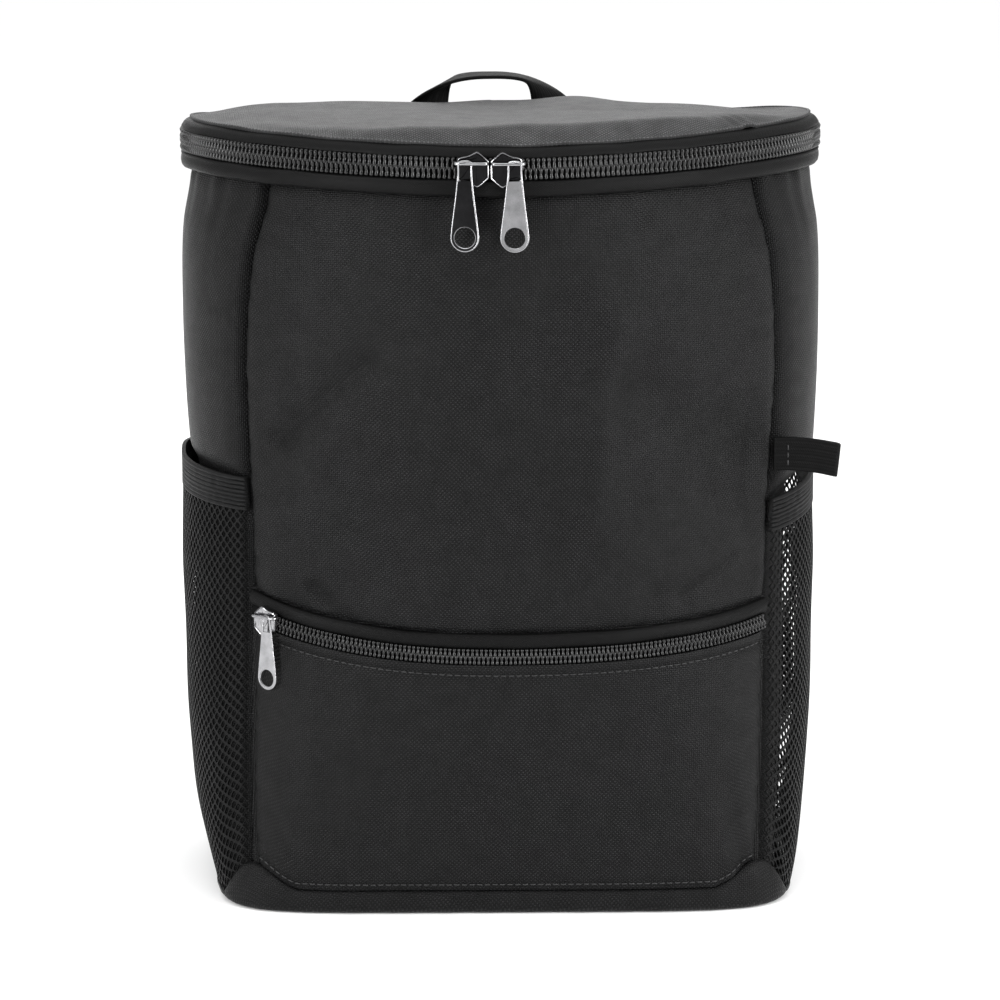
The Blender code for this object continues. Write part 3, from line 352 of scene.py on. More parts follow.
def lean(share, depth=0.0):
    """Rise above the zip's middle, and inset, of a place on the upper strip's arc, depth under its face."""
    turn = LEAN_LOW + (LEAN_HIGH - LEAN_LOW) * share
    radius = LEAN_SPAN / (LEAN_HIGH - LEAN_LOW)
    rise = radius * (math.sin(turn) - math.sin(LEAN_LOW)) - depth * math.sin(turn)
    inset = radius * (math.cos(LEAN_LOW) - math.cos(turn)) + depth * math.cos(turn)
    return CHAIN_WIDTH / 2 + GAP + rise, inset


RIM_RISE, RIM_INSET = lean(1.0)


def pocket_zip_height(around):
    """Middle of the pocket zip: lowest at the front centre, a little higher on the left."""
    bow = np.abs(around) ** 2.2
    return POCKET_TOP + POCKET_CHAIN / 2 + POCKET_DIP * bow - POCKET_LEAN * around * np.abs(around)


def flap_top(around):
    """Upper edge of the strip above the pocket zip."""
    return pocket_zip_height(around) + POCKET_CHAIN / 2 + GAP + POCKET_FLAP


def lip_height(around):
    """Top of the base's lip: low along the front, up to a point at each front corner, low at the sides."""
    a = np.abs(around)
    rise = LIP_POINT * step_up(a, 0.80, 0.985)
    fall = -LIP_FALL * step_up(a, 1.0, 1.16)
    back = LIP_BACK * step_up(a, 1.6, 2.0)
    return BASE_LIP + 0.0006 + rise + fall + back


def step_up(at, low, high):
    """0 below low and 1 above high, with a soft rise between."""
    t = np.clip((at - low) / (high - low), 0, 1)
    return t * t * (3 - 2 * t)


def bump(at, low, high, soft):
    """1 between low and high, falling smoothly to 0 over a soft margin outside them."""
    return step_up(at, low - soft, low) * (1 - step_up(at, high, high + soft))


def ripple(along, length, seed):
    """Uneven waves from -1 to 1: three sines whose lengths differ by a third and a half."""
    turn = 2 * math.pi * along / length
    short = 0.6 * np.sin(1.33 * turn + 2.1 * seed)
    long = 0.5 * np.sin(0.52 * turn + 3.7 * seed)
    return (np.sin(turn + seed) + short + long) / 2


def softness(u, v, seed):
    """Slow unevenness of foam under cloth: crossed waves 50 to 110 mm long."""
    return ripple(u + 0.4 * v, 0.075, seed) * ripple(v - 0.3 * u, 0.105, seed + 1.7)


def folds(around, height):
    """Depth of the front panel's dents and folds, each a line that fades out to its sides."""
    half = BAG_WIDTH / 2
    depth = np.zeros(np.broadcast(around, height).shape)
    for a0, z0, a1, z1, width, deep in FRONT_FOLDS:
        start = np.array((a0 * half, z0 * ZIP_HEIGHT))
        along = np.array((a1 * half, z1 * ZIP_HEIGHT)) - start
        across = np.stack((around * half - start[0], height - start[1]), axis=-1)
        share = np.clip(across @ along / (along @ along), 0, 1)
        away = np.linalg.norm(across - share[..., None] * along, axis=-1)
        depth += FOLD_DEPTH * deep * np.exp(-(away / (FOLD_WIDTH * width)) ** 2)
    return depth * np.clip((1 - np.abs(around)) / 0.12, 0, 1)


def pinch(distance, width, depth):
    """Depth of a sewn seam: cloth rolls in to it over the given width."""
    return depth * np.exp(-np.abs(distance) / width)


def hem_line(side, share):
    """Lower edge of a side pocket's hem, from its front seam to its back seam."""
    front, back = HEM_EDGES[side]
    return front + (back - front) * share + 0.002 * np.sin(math.pi * share)


def net_bulge(side, height, share):
    """How far the net stands out: most at mid height and midway between its seams."""
    return smooth(NET_BULGE, BULGE_COLUMNS, side, height) * np.sin(math.pi * np.clip(share, 0, 1)) ** 0.7


def grid_faces(rows, columns, start=0, wrap=False):
    """Corner numbers of the cells of a grid of points, rows by columns."""
    r, c = np.meshgrid(np.arange(rows - 1), np.arange(columns if wrap else columns - 1), indexing="ij")
    a = start + r * columns + c
    b = start + r * columns + (c + 1) % columns
    return np.stack((a, b, b + columns, a + columns), axis=-1).reshape(-1, 4)


def cloth_uv(points):
    """Lengths in metres along a grid's rows and columns, from its middle column and its first row."""
    step = np.linalg.norm(np.diff(points, axis=1), axis=-1)
    u = np.concatenate((np.zeros((len(points), 1)), np.cumsum(step, axis=1)), axis=1)
    u -= u[:, u.shape[1] // 2][:, None]
    step = np.linalg.norm(np.diff(points, axis=0), axis=-1)
    v = np.concatenate((np.zeros((1, points.shape[1])), np.cumsum(step, axis=0)), axis=0)
    return np.stack((u, v), axis=-1)


def make_piece(name, points, faces, material, uv=None, body="bag", sharp=50):
    """A mesh object from arrays of points and of faces, turned outwards, riding on a body."""
    mesh = bpy.data.meshes.new(name)
    points = np.asarray(points, np.float32).reshape(-1, 3)
    corners = np.concatenate([np.asarray(f).reshape(-1) for f in faces]).astype(np.int32)
    sizes = np.concatenate([np.full(len(f), np.asarray(f).shape[1]) for f in faces])
    mesh.vertices.add(len(points))
    mesh.vertices.foreach_set("co", points.ravel())
    mesh.loops.add(len(corners))
    mesh.loops.foreach_set("vertex_index", corners)
    mesh.polygons.add(len(sizes))
    mesh.polygons.foreach_set("loop_start", np.concatenate(([0], np.cumsum(sizes)[:-1])).astype(np.int32))
    mesh.update(calc_edges=True)
    if uv is not None:
        layer = mesh.uv_layers.new(name="UVMap")
        layer.data.foreach_set("uv", np.asarray(uv, np.float32).reshape(-1, 2)[corners].ravel())
    shape = bmesh.new()
    shape.from_mesh(mesh)
    bmesh.ops.recalc_face_normals(shape, faces=shape.faces)
    shape.to_mesh(mesh)
    shape.free()
    mesh.shade_smooth()
    mesh.set_sharp_from_angle(angle=math.radians(sharp))
    mesh.materials.append(material)
    piece = bpy.data.objects.new(name, mesh)
    bpy.context.scene.collection.objects.link(piece)
    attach(piece, body)
    return piece


def panel(name, outer, inner, material, body="bag"):
    """A cloth or padded wall between an outer and an inner grid, closed along its four edges."""
    rows, columns = outer.shape[:2]
    count = rows * columns
    points = np.concatenate((outer.reshape(-1, 3), inner.reshape(-1, 3)))
    rim = list(range(columns))
    rim += [r * columns + columns - 1 for r in range(1, rows)]
    rim += [(rows - 1) * columns + c for c in range(columns - 2, -1, -1)]
    rim += [r * columns for r in range(rows - 2, 0, -1)]
    rim = np.array(rim)
    after = np.roll(rim, -1)
    sides = np.stack((rim, after, after + count, rim + count), axis=-1)
    faces = (grid_faces(rows, columns), grid_faces(rows, columns, count), sides)
    uv = cloth_uv(outer)
    return make_piece(name, points, faces, material, np.stack((uv, uv)), body)


def tube(loops, start=0):
    """Faces of a closed bar through a row of loops, ends included, numbered from start."""
    stations, sides = loops.shape[:2]
    ends = np.array([np.arange(sides), np.arange((stations - 1) * sides, stations * sides)]) + start
    return [grid_faces(stations, sides, start, wrap=True), ends]


def loop_uv(loops):
    """Lengths in metres along a bar and round its section."""
    middle = loops.mean(axis=1)
    step = np.linalg.norm(np.diff(middle, axis=0), axis=-1)
    along = np.concatenate(([0.0], np.cumsum(step)))
    step = np.linalg.norm(np.diff(loops[len(loops) // 2], axis=0), axis=-1)
    about = np.concatenate(([0.0], np.cumsum(step)))
    return np.stack(np.broadcast_arrays(along[:, None], about[None, :]), axis=-1)


def bar(name, loops, material, body="bag", sharp=50):
    """A piece swept through a row of closed loops of points."""
    return make_piece(name, loops, tube(loops), material, loop_uv(loops), body, sharp)


def bars(name, many, material, body="bag", sharp=50):
    """One piece of several closed bars."""
    faces, points, uvs, start = [], [], [], 0
    for loops in many:
        faces += tube(loops, start)
        points.append(loops.reshape(-1, 3))
        uvs.append(loop_uv(loops).reshape(-1, 2))
        start += loops.shape[0] * loops.shape[1]
    return make_piece(name, np.concatenate(points), faces, material, np.concatenate(uvs), body, sharp)


def normal(vectors):
    """Vectors brought to length 1."""
    return vectors / np.maximum(np.linalg.norm(vectors, axis=-1, keepdims=True), 1e-12)


def rod_loops(path, radius, sides=8, up=(0.0, 0.0, 1.0), closed=False, flat=1.0):
    """Loops round a path: spot + radius (cos t side + flat sin t rise), side square to the path and up."""
    path = np.asarray(path, float)
    if closed:
        ahead = np.roll(path, -1, axis=0) - np.roll(path, 1, axis=0)
    else:
        ahead = np.gradient(path, axis=0)
    ahead = normal(ahead)
    side = normal(np.cross(ahead, np.broadcast_to(up, path.shape)))
    rise = np.cross(side, ahead)
    turn = 2 * math.pi * (np.arange(sides) + 0.5) / sides
    radius = np.broadcast_to(radius, len(path))[:, None, None]
    ring = np.cos(turn)[None, :, None] * side[:, None] + flat * np.sin(turn)[None, :, None] * rise[:, None]
    return path[:, None] + radius * ring


def ring_faces(stations, sides, start=0):
    """Faces of a rod whose ends meet."""
    r, c = np.meshgrid(np.arange(stations), np.arange(sides), indexing="ij")
    following = (r + 1) % stations
    beside = (c + 1) % sides
    corners = (r * sides + c, r * sides + beside, following * sides + beside, following * sides + c)
    return np.stack(corners, axis=-1).reshape(-1, 4) + start


def stamp(template, faces, spots, along, across, out):
    """Copies of a small shape at many spots; its x lies along, its y across and its z outwards."""
    turned = np.stack((along, across, out), axis=1)
    points = spots[:, None] + np.einsum("pk,mkj->mpj", template, turned)
    shift = np.arange(len(spots))[:, None, None] * len(template)
    return points, [np.asarray(f)[None] + shift for f in faces]


def stamped(name, template, faces, spots, along, across, out, material, sharp=60):
    """A piece made of copies of one small shape."""
    points, many = stamp(template, faces, spots, along, across, out)
    flat = [f.reshape(-1, f.shape[-1]) for f in many]
    uv = np.broadcast_to(template[:, :2], (len(spots), len(template), 2))
    return make_piece(name, points, flat, material, uv, "bag", sharp)


def line_frames(points, out_hint):
    """Directions along a row of points, out from the cloth and across, all square to one another."""
    along = normal(np.gradient(points, axis=0))
    out = normal(out_hint - along * np.sum(out_hint * along, axis=-1, keepdims=True))
    return along, np.cross(out, along), out


def even_places(points, pitch):
    """Positions along a row of points, one pitch apart, as fractional row numbers."""
    step = np.linalg.norm(np.diff(points, axis=0), axis=-1)
    length = np.concatenate(([0.0], np.cumsum(step)))
    wanted = np.arange(pitch / 2, length[-1], pitch)
    return np.interp(wanted, length, np.arange(len(points)))


def sample(rows, at):
    """Rows of an array at fractional row numbers."""
    low = np.minimum(at.astype(int), len(rows) - 2)
    share = (at - low)[:, None]
    return rows[low] * (1 - share) + rows[low + 1] * share


def dash_template(length, radius):
    """A thread end to end: a flat six-sided bead, widest in its middle, whose ends dip into the cloth."""
    x = np.array((-0.5, -0.36, 0.0, 0.36, 0.5)) * length
    r = np.array((0.35, 0.85, 1.0, 0.85, 0.35)) * radius
    sink = np.array((-0.9, 0.0, 0.25, 0.0, -0.9)) * radius
    turn = 2 * math.pi * np.arange(6) / 6
    y = r[:, None] * np.cos(turn)
    z = sink[:, None] + r[:, None] * np.sin(turn)
    loops = np.stack(np.broadcast_arrays(x[:, None], y, z), axis=-1)
    return loops.reshape(-1, 3), tube(loops)


def stitches(name, line, out_hint, material, pitch=0.0034, length=0.0027, radius=0.00032):
    """A row of stitches along points that lie on the cloth."""
    at = even_places(line, pitch)
    along, across, out = line_frames(line, out_hint)
    spots = sample(line, at)
    template, faces = dash_template(length, radius)
    ways = [normal(sample(way, at)) for way in (along, across, out)]
    return stamped(name, template, faces, spots, *ways, material)


def outwards(points_of, height, around):
    """Outward direction of the skin at places, from points set in and not."""
    zero = np.zeros(np.broadcast(height, around).shape)
    return normal(points_of(height, around, zero) - points_of(height, around, zero + 0.001))


# Shader groups that several finishes share
def new_group(name, inputs, outputs):
    """An empty shader node group with named sockets."""
    group = bpy.data.node_groups.new(name, "ShaderNodeTree")
    for title, kind, value in inputs:
        socket = group.interface.new_socket(title, in_out="INPUT", socket_type=kind)
        if value is not None:
            socket.default_value = value
    for title, kind in outputs:
        group.interface.new_socket(title, in_out="OUTPUT", socket_type=kind)
    return group, group.nodes.new("NodeGroupInput"), group.nodes.new("NodeGroupOutput")


def feed(tree, socket, value):
    """Link a socket to another socket, or set it to a number or colour."""
    if isinstance(value, bpy.types.NodeSocket):
        tree.links.new(value, socket)
    else:
        socket.default_value = value


def sum_of(tree, operation, *values):
    """A maths node: its result for the given sockets or numbers."""
    node = tree.nodes.new("ShaderNodeMath")
    node.operation = operation
    for socket, value in zip(node.inputs, values):
        feed(tree, socket, value)
    return node.outputs[0]


def tint(tree, share, low, high):
    """A colour between two colours."""
    node = tree.nodes.new("ShaderNodeMix")
    node.data_type = "RGBA"
    feed(tree, node.inputs["Factor"], share)
    feed(tree, node.inputs["A"], low)
    feed(tree, node.inputs["B"], high)
    return node.outputs["Result"]


def scatter(tree, vector, scale, detail=2.0, rough=0.5):
    """Noise from 0 to 1 at so many waves a metre."""
    node = tree.nodes.new("ShaderNodeTexNoise")
    tree.links.new(vector, node.inputs["Vector"])
    node.inputs["Scale"].default_value = scale
    node.inputs["Detail"].default_value = detail
    node.inputs["Roughness"].default_value = rough
    return node.outputs["Fac"]


def spread_range(tree, value, low, high, out_low=0.0, out_high=1.0):
    """A value brought from one range to another, and kept inside it."""
    node = tree.nodes.new("ShaderNodeMapRange")
    for socket, number in zip(node.inputs, (value, low, high, out_low, out_high)):
        feed(tree, socket, number)
    return node.outputs["Result"]


def weave_group():
    """Plain weave: threads cross over and under, each float a small round hill; some threads are thicker."""
    sockets = (("Vector", "NodeSocketVector", None), ("Thread", "NodeSocketFloat", 0.0008),
               ("Slub", "NodeSocketFloat", 0.3))
    group, enter, leave = new_group("Woven threads", sockets,
                                    (("Height", "NodeSocketFloat"), ("Fleck", "NodeSocketFloat")))
    split = group.nodes.new("ShaderNodeSeparateXYZ")
    group.links.new(enter.outputs["Vector"], split.inputs[0])
    wobble = scatter(group, enter.outputs["Vector"], 260.0)
    shift = sum_of(group, "MULTIPLY", sum_of(group, "SUBTRACT", wobble, 0.5), 0.55)
    waves = []
    for axis in ("X", "Y"):
        turns = sum_of(group, "DIVIDE", split.outputs[axis], enter.outputs["Thread"])
        turns = sum_of(group, "ADD", turns, shift)
        waves.append(sum_of(group, "SINE", sum_of(group, "MULTIPLY", turns, math.pi)))
    product = sum_of(group, "MULTIPLY", *waves)
    hill = sum_of(group, "POWER", sum_of(group, "ABSOLUTE", product), 0.5)
    over = spread_range(group, product, -0.2, 0.2, 0.28, 1.0)
    height = sum_of(group, "MULTIPLY", hill, over)
    thick = scatter(group, enter.outputs["Vector"], 90.0, 4.0, 0.7)
    slub = sum_of(group, "MULTIPLY", sum_of(group, "SUBTRACT", thick, 0.5), enter.outputs["Slub"])
    group.links.new(sum_of(group, "ADD", height, slub), leave.inputs["Height"])
    # Painted highlight on the crowns of the threads and painted shade between them, stronger on thicker
    # threads
    crown_glint = sum_of(group, "MULTIPLY", height, spread_range(group, thick, 0.3, 0.7, 0.55, 1.35))
    group.links.new(crown_glint, leave.inputs["Fleck"])
    return group


def rib_group():
    """Webbing: cords along the tape, each crossed by slanting floats like a row of small leaning beads."""
    sockets = (("Vector", "NodeSocketVector", None), ("Cord", "NodeSocketFloat", 0.0016),
               ("Float", "NodeSocketFloat", 0.0011))
    group, enter, leave = new_group("Webbing ribs", sockets,
                                    (("Height", "NodeSocketFloat"), ("Fleck", "NodeSocketFloat")))
    split = group.nodes.new("ShaderNodeSeparateXYZ")
    group.links.new(enter.outputs["Vector"], split.inputs[0])
    cords = sum_of(group, "DIVIDE", split.outputs["Y"], enter.outputs["Cord"])
    cord = sum_of(group, "ABSOLUTE", sum_of(group, "SINE", sum_of(group, "MULTIPLY", cords, math.pi)))
    slant = sum_of(group, "PINGPONG", cords, 1.0)
    floats = sum_of(group, "DIVIDE", split.outputs["X"], enter.outputs["Float"])
    floats = sum_of(group, "ADD", floats, sum_of(group, "MULTIPLY", slant, 1.2))
    bead = sum_of(group, "ABSOLUTE", sum_of(group, "SINE", sum_of(group, "MULTIPLY", floats, math.pi)))
    ridge = sum_of(group, "POWER", cord, 0.6)
    height = sum_of(group, "MULTIPLY", ridge, sum_of(group, "MULTIPLY_ADD", bead, 0.5, 0.5))
    group.links.new(height, leave.inputs["Height"])
    loose = scatter(group, enter.outputs["Vector"], 140.0, 3.0, 0.6)
    # Painted highlight on the tops of the beads, uneven along the webbing
    group.links.new(sum_of(group, "MULTIPLY", height, loose), leave.inputs["Fleck"])
    return group


def tone_group():
    """Painted highlight on the threads, uneven dye and a little dust: the Glint share, varied in slow
    patches, mixes a dark and a light colour, with rare pale specks over it.
    """
    sockets = (("Vector", "NodeSocketVector", None), ("Dark", "NodeSocketColor", (0, 0, 0, 1)),
               ("Light", "NodeSocketColor", (1, 1, 1, 1)), ("Fleck", "NodeSocketFloat", 0.5),
               ("Dust", "NodeSocketFloat", 0.15))
    group, enter, leave = new_group("Uneven tone", sockets, (("Color", "NodeSocketColor"),))
    patch = scatter(group, enter.outputs["Vector"], 14.0, 3.0, 0.55)
    grain = scatter(group, enter.outputs["Vector"], 900.0, 2.0, 0.6)
    patchy = spread_range(group, patch, 0.3, 0.7, 0.88, 1.10)
    # Share of the light colour: the painted highlight on the threads, varied in slow patches
    share = sum_of(group, "MULTIPLY", enter.outputs["Fleck"], patchy)
    colour = tint(group, share, enter.outputs["Dark"], enter.outputs["Light"])
    specks = sum_of(group, "MULTIPLY", spread_range(group, grain, 0.72, 0.80), enter.outputs["Dust"])
    group.links.new(tint(group, specks, colour, (0.05, 0.05, 0.052, 1)), leave.inputs["Color"])
    return group


def scuff_group():
    """Fine rubbing on metal and plastic: noise that varies the roughness."""
    sockets = (("Vector", "NodeSocketVector", None), ("Low", "NodeSocketFloat", 0.2),
               ("High", "NodeSocketFloat", 0.4))
    group, enter, leave = new_group("Rubbed surface", sockets,
                                    (("Roughness", "NodeSocketFloat"), ("Height", "NodeSocketFloat")))
    grain = scatter(group, enter.outputs["Vector"], 1400.0, 3.0, 0.6)
    patch = scatter(group, enter.outputs["Vector"], 160.0, 2.0, 0.5)
    both = sum_of(group, "MULTIPLY_ADD", grain, 0.5, sum_of(group, "MULTIPLY", patch, 0.5))
    rough = spread_range(group, both, 0.35, 0.65, enter.outputs["Low"], enter.outputs["High"])
    group.links.new(rough, leave.inputs["Roughness"])
    group.links.new(both, leave.inputs["Height"])
    return group


WEAVE = weave_group()
RIBS = rib_group()
TONE = tone_group()
SCUFF = scuff_group()


def placed(tree, group, **values):
    """A shader group in a material, with its own values."""
    node = tree.nodes.new("ShaderNodeGroup")
    node.node_tree = group
    for title, value in values.items():
        feed(tree, node.inputs[title], value)
    return node


def blank(name):
    """A new material's tree, its Principled shader and the coordinates that patterns read."""
    material = bpy.data.materials.new(name)
    material.use_nodes = True
    tree = material.node_tree
    where = tree.nodes.new("ShaderNodeTexCoord")
    return material, tree, tree.nodes["Principled BSDF"], where


def relief(tree, surface, height, distance, strength=1.0):
    """A height pattern as a bump on the surface."""
    node = tree.nodes.new("ShaderNodeBump")
    node.inputs["Distance"].default_value = distance
    node.inputs["Strength"].default_value = strength
    feed(tree, node.inputs["Height"], height)
    tree.links.new(node.outputs["Normal"], surface.inputs["Normal"])


def cloth_finish(name, dark, light, group, sizes, depth, rough, sheen, specular=0.35):
    """Cloth or webbing: a thread pattern on the piece's own UV map, with a painted highlight on the tops of
    its threads and uneven tone.
    """
    material, tree, surface, where = blank(name)
    threads = placed(tree, group, Vector=where.outputs["UV"], **sizes)
    tone = placed(tree, TONE, Vector=where.outputs["Object"], Dark=(*dark, 1), Light=(*light, 1),
                  Fleck=threads.outputs["Fleck"])
    tree.links.new(tone.outputs["Color"], surface.inputs["Base Color"])
    rough_map = spread_range(tree, threads.outputs["Fleck"], 0.0, 1.0, rough + 0.08, rough - 0.10)
    tree.links.new(rough_map, surface.inputs["Roughness"])
    surface.inputs["Sheen Weight"].default_value = sheen
    surface.inputs["Sheen Roughness"].default_value = 0.45
    surface.inputs["Specular IOR Level"].default_value = specular
    relief(tree, surface, threads.outputs["Height"], depth)
    return material


def hard_finish(name, colour, metallic, low, high, specular=0.5, coat=0.0):
    """Metal or moulded plastic with fine rubbing."""
    material, tree, surface, where = blank(name)
    rubbed = placed(tree, SCUFF, Vector=where.outputs["Object"], Low=low, High=high)
    patch = scatter(tree, where.outputs["Object"], 220.0)
    darker = tuple(0.72 * c for c in colour)
    share = spread_range(tree, patch, 0.3, 0.7)
    tree.links.new(tint(tree, share, (*darker, 1), (*colour, 1)), surface.inputs["Base Color"])
    tree.links.new(rubbed.outputs["Roughness"], surface.inputs["Roughness"])
    surface.inputs["Metallic"].default_value = metallic
    surface.inputs["Specular IOR Level"].default_value = specular
    surface.inputs["Coat Weight"].default_value = coat
    relief(tree, surface, rubbed.outputs["Height"], 0.00001)
    return material


# Each cloth mixes its first colour with its second, which is a painted highlight on the tops of its threads
PACKCLOTH = cloth_finish("pack cloth", (0.0002, 0.0002, 0.0002), (0.0110, 0.0110, 0.0114), WEAVE,
                         {"Thread": 0.00095, "Slub": 0.55}, 0.00048, 0.38, 0.0, 0.12)
# Lighter copy of the black cloth: painted sheen of the light from above on the lid, and a painted highlight
# on the lid's seam edge
LIT_LID_CLOTH = cloth_finish("lid cloth with painted sheen", (0.0008, 0.0008, 0.0008), (0.0800, 0.0800, 0.0820), WEAVE,
                        {"Thread": 0.00095, "Slub": 0.55}, 0.00040, 0.46, 0.0, 0.30)
STRIPCLOTH = cloth_finish("strip cloth", (0.0010, 0.0010, 0.0010), (0.0030, 0.0030, 0.0031), WEAVE,
                          {"Thread": 0.00055, "Slub": 0.25}, 0.00016, 0.38, 0.0, 0.09)
TAPECLOTH = cloth_finish("zip tape", (0.0010, 0.0010, 0.0010), (0.0035, 0.0035, 0.0036), WEAVE,
                         {"Thread": 0.00045, "Slub": 0.20}, 0.00010, 0.60, 0.0, 0.05)
WEBBING = cloth_finish("black webbing", (0.0006, 0.0006, 0.0006), (0.0030, 0.0030, 0.0031), RIBS,
                       {"Cord": 0.00150, "Float": 0.0011}, 0.00020, 0.50, 0.0, 0.07)
ELASTIC = cloth_finish("ribbed elastic", (0.0015, 0.0015, 0.0015), (0.0120, 0.0120, 0.0125), RIBS,
                       {"Cord": 0.00110, "Float": 0.0007}, 0.00014, 0.50, 0.0, 0.12)
NETTING = cloth_finish("knitted net", (0.0010, 0.0010, 0.0010), (0.0080, 0.0080, 0.0083), WEAVE,
                       {"Thread": 0.00035, "Slub": 0.30}, 0.00008, 0.50, 0.0, 0.10)
THREAD = cloth_finish("sewing thread", (0.004, 0.004, 0.004), (0.034, 0.034, 0.035), RIBS,
                      {"Cord": 0.00030, "Float": 0.0004}, 0.00005, 0.42, 0.0, 0.4)
COIL = hard_finish("zip coil nylon", (0.0015, 0.0015, 0.0016), 0.0, 0.12, 0.20, 0.38)
# Dark and light copies of one metal: the first paints shade on the main slider plates and the left pull, the
# second paints highlights on rims, crown bars, the right pull and the pocket slider
SHADED_METAL = hard_finish("metal with painted shade", (0.020, 0.020, 0.021), 1.0, 0.14, 0.26)
LIT_METAL = hard_finish("metal with painted highlights", (0.34, 0.34, 0.35), 1.0, 0.12, 0.24)
BUCKLE = hard_finish("moulded black plastic", (0.004, 0.004, 0.004), 0.0, 0.32, 0.46, 0.2)


def front_wall_inset(height, around):
    """Outer face of the front panel: folds above the flap, a recess behind the pocket, seams rolled in."""
    zip_line = pocket_zip_height(around)
    layers = CLOTH + 2 * GAP + POCKET_TAPE
    middle = (zip_line + BASE_LIP) / 2
    half = (zip_line - BASE_LIP) / 2
    upright = 1 - np.clip(np.abs(height - middle) / half, 0, 1) ** 4
    recess = layers + POCKET_ROOM * upright * (1 - np.clip(np.abs(around), 0, 1) ** 8)
    edge = (1 - np.abs(around)) * PANEL_ARC
    top = band_height(around) + strip_edge(-1)
    seam = pinch(edge, 0.0018, FRONT_SEAM_DEPTH)
    puckers = 0.00045 * ripple(height, 0.013, 1.0 + around) * np.exp(-edge / 0.012)
    under_strip = pinch(top - height, 0.005, 0.0022)
    gathers = 0.00030 * ripple(around * PANEL_ARC, 0.017, 2.0) * np.exp(-(top - height) / 0.014)
    above_flap = np.clip(height - flap_top(around), 0, None)
    tuck = pinch(above_flap, 0.0035, 0.0016)
    tuck = tuck - 0.0007 * ripple(around * PANEL_ARC, 0.022, 0.6) * np.exp(-above_flap / 0.012)
    foam = 0.0006 * softness(around * PANEL_ARC, height, 0.4) * np.clip(edge / 0.03, 0, 1)
    shown = folds(around, height) + seam + puckers + under_strip + gathers + tuck + foam
    return np.where(height > flap_top(around), shown, recess)


def front_wall():
    """Front wall of the body, from the base's lip to the strip under the main zip."""
    around = np.linspace(-1 + SEAM_STEP, 1 - SEAM_STEP, 171)
    top = band_height(around) + strip_edge(-1) - GAP
    low = flap_top(around)
    foot = np.full(around.shape, BASE_LIP + GAP)
    lower = foot + (low - 2 * GAP - foot) * np.linspace(0, 1, 40)[:, None]
    upper = low + (top - low) * np.linspace(0, 1, 150)[:, None]
    height = np.concatenate((lower, upper))
    around = np.broadcast_to(around, height.shape)
    inset = front_wall_inset(height, around)
    wall = panel("front_wall", wall_points(height, around, inset), wall_points(height, around, inset + WALL),
                 PACKCLOTH)
    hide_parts("front_panel")


def side_wall_inset(side, height, share, top):
    """Outer face of a side panel: full above, with a depth of its own behind the net, seams rolled in."""
    rim = hem_line(side, share) + HEM_HEIGHT
    covered = bump(height, 0.0, rim - 0.004, 0.010)
    middle = 1 - np.abs(2 * share - 1) ** 4
    foot = np.clip(0.45 + (height - BASE_LIP) / 0.040, 0.0, 1.0)
    reach = rim - MESH_ROOM_END[side]
    room = MESH_ROOM[side] * middle * foot * (2 - foot) * bump(height, 0.0, reach, 0.016)
    front = share * PANEL_ARC
    back = (1 - share) * PANEL_ARC
    above = 1 - covered
    seam = pinch(front, 0.0024, SIDE_SEAM_DEPTH) + pinch(back, 0.004, 0.002)
    seam = seam * (0.35 + 0.65 * above)
    puckers = 0.0004 * ripple(height, 0.012, 4.0) * np.exp(-front / 0.010) * above
    under_strip = pinch(top - height, 0.005, 0.0020)
    gathers = 0.0009 * ripple(share * PANEL_ARC, 0.013, 3.0) * np.exp(-(top - height) / 0.012)
    foam = 0.0006 * softness(share * PANEL_ARC, height, 2.4) * above
    return (HEM_THICKNESS + MESH_SEAT) * covered + room + seam + puckers + under_strip + gathers + foam


def side_wall(side):
    """Side wall between the front and back seams."""
    sign = -1 if side == "left" else 1
    share = np.linspace(0, 1, 81)
    around = sign * (1 + SEAM_STEP + (1 - 2 * SEAM_STEP) * share)
    top = band_height(around) + strip_edge(-1) - GAP
    height = BASE_LIP + GAP + (top - BASE_LIP - GAP) * np.linspace(0, 1, 201)[:, None]
    around = np.broadcast_to(around, height.shape)
    inset = side_wall_inset(side, height, share, top)
    wall = panel("side_wall_" + side, wall_points(height, around, inset),
                 wall_points(height, around, inset + WALL * 0.8), PACKCLOTH)
    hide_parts("side_panel_" + side)


def back_wall():
    """Plain padded back wall, up to the lid's hinge edge."""
    share = np.linspace(0, 1, 121)
    around = 2 + SEAM_STEP + (2 - 2 * SEAM_STEP) * share
    top = rim_height(np.where(around > 3, around - 6, around)) - GAP
    height = BASE_LIP + GAP + (top - BASE_LIP - GAP) * np.linspace(0, 1, 161)[:, None]
    edge = np.minimum(share, 1 - share) * 2 * PANEL_ARC
    inset = pinch(edge, 0.004, 0.0022) + RIM_INSET * np.clip(1 - (top - height) / 0.010, 0, 1) ** 2
    inset = inset + 0.0004 * softness(share * 0.24, height, 5.1) + 0.0003
    around = np.broadcast_to(np.where(around > 3, around - 6, around), height.shape)
    wall = panel("back_wall", wall_points(height, around, inset),
                 wall_points(height, around, inset + WALL * 0.8), PACKCLOTH)
    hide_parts("back_panel")


def closed_rings(name, rings, first, last, material):
    """A closed body of rings round the bag, drawn together to a point at each end."""
    count, sides = rings.shape[:2]
    points = np.concatenate((rings.reshape(-1, 3), (first, last)))
    c = np.arange(sides)
    beside = (c + 1) % sides
    low = (count - 1) * sides
    caps = np.concatenate((
        np.stack((c, beside, np.full(sides, count * sides)), axis=-1),
        np.stack((low + c, low + beside, np.full(sides, count * sides + 1)), axis=-1),
    ))
    uv = np.concatenate((rings[..., :2].reshape(-1, 2), (first[:2], last[:2])))
    uv[:, 1] += points[:, 2]
    return make_piece(name, points, (grid_faces(count, sides, 0, wrap=True), caps), material, uv)


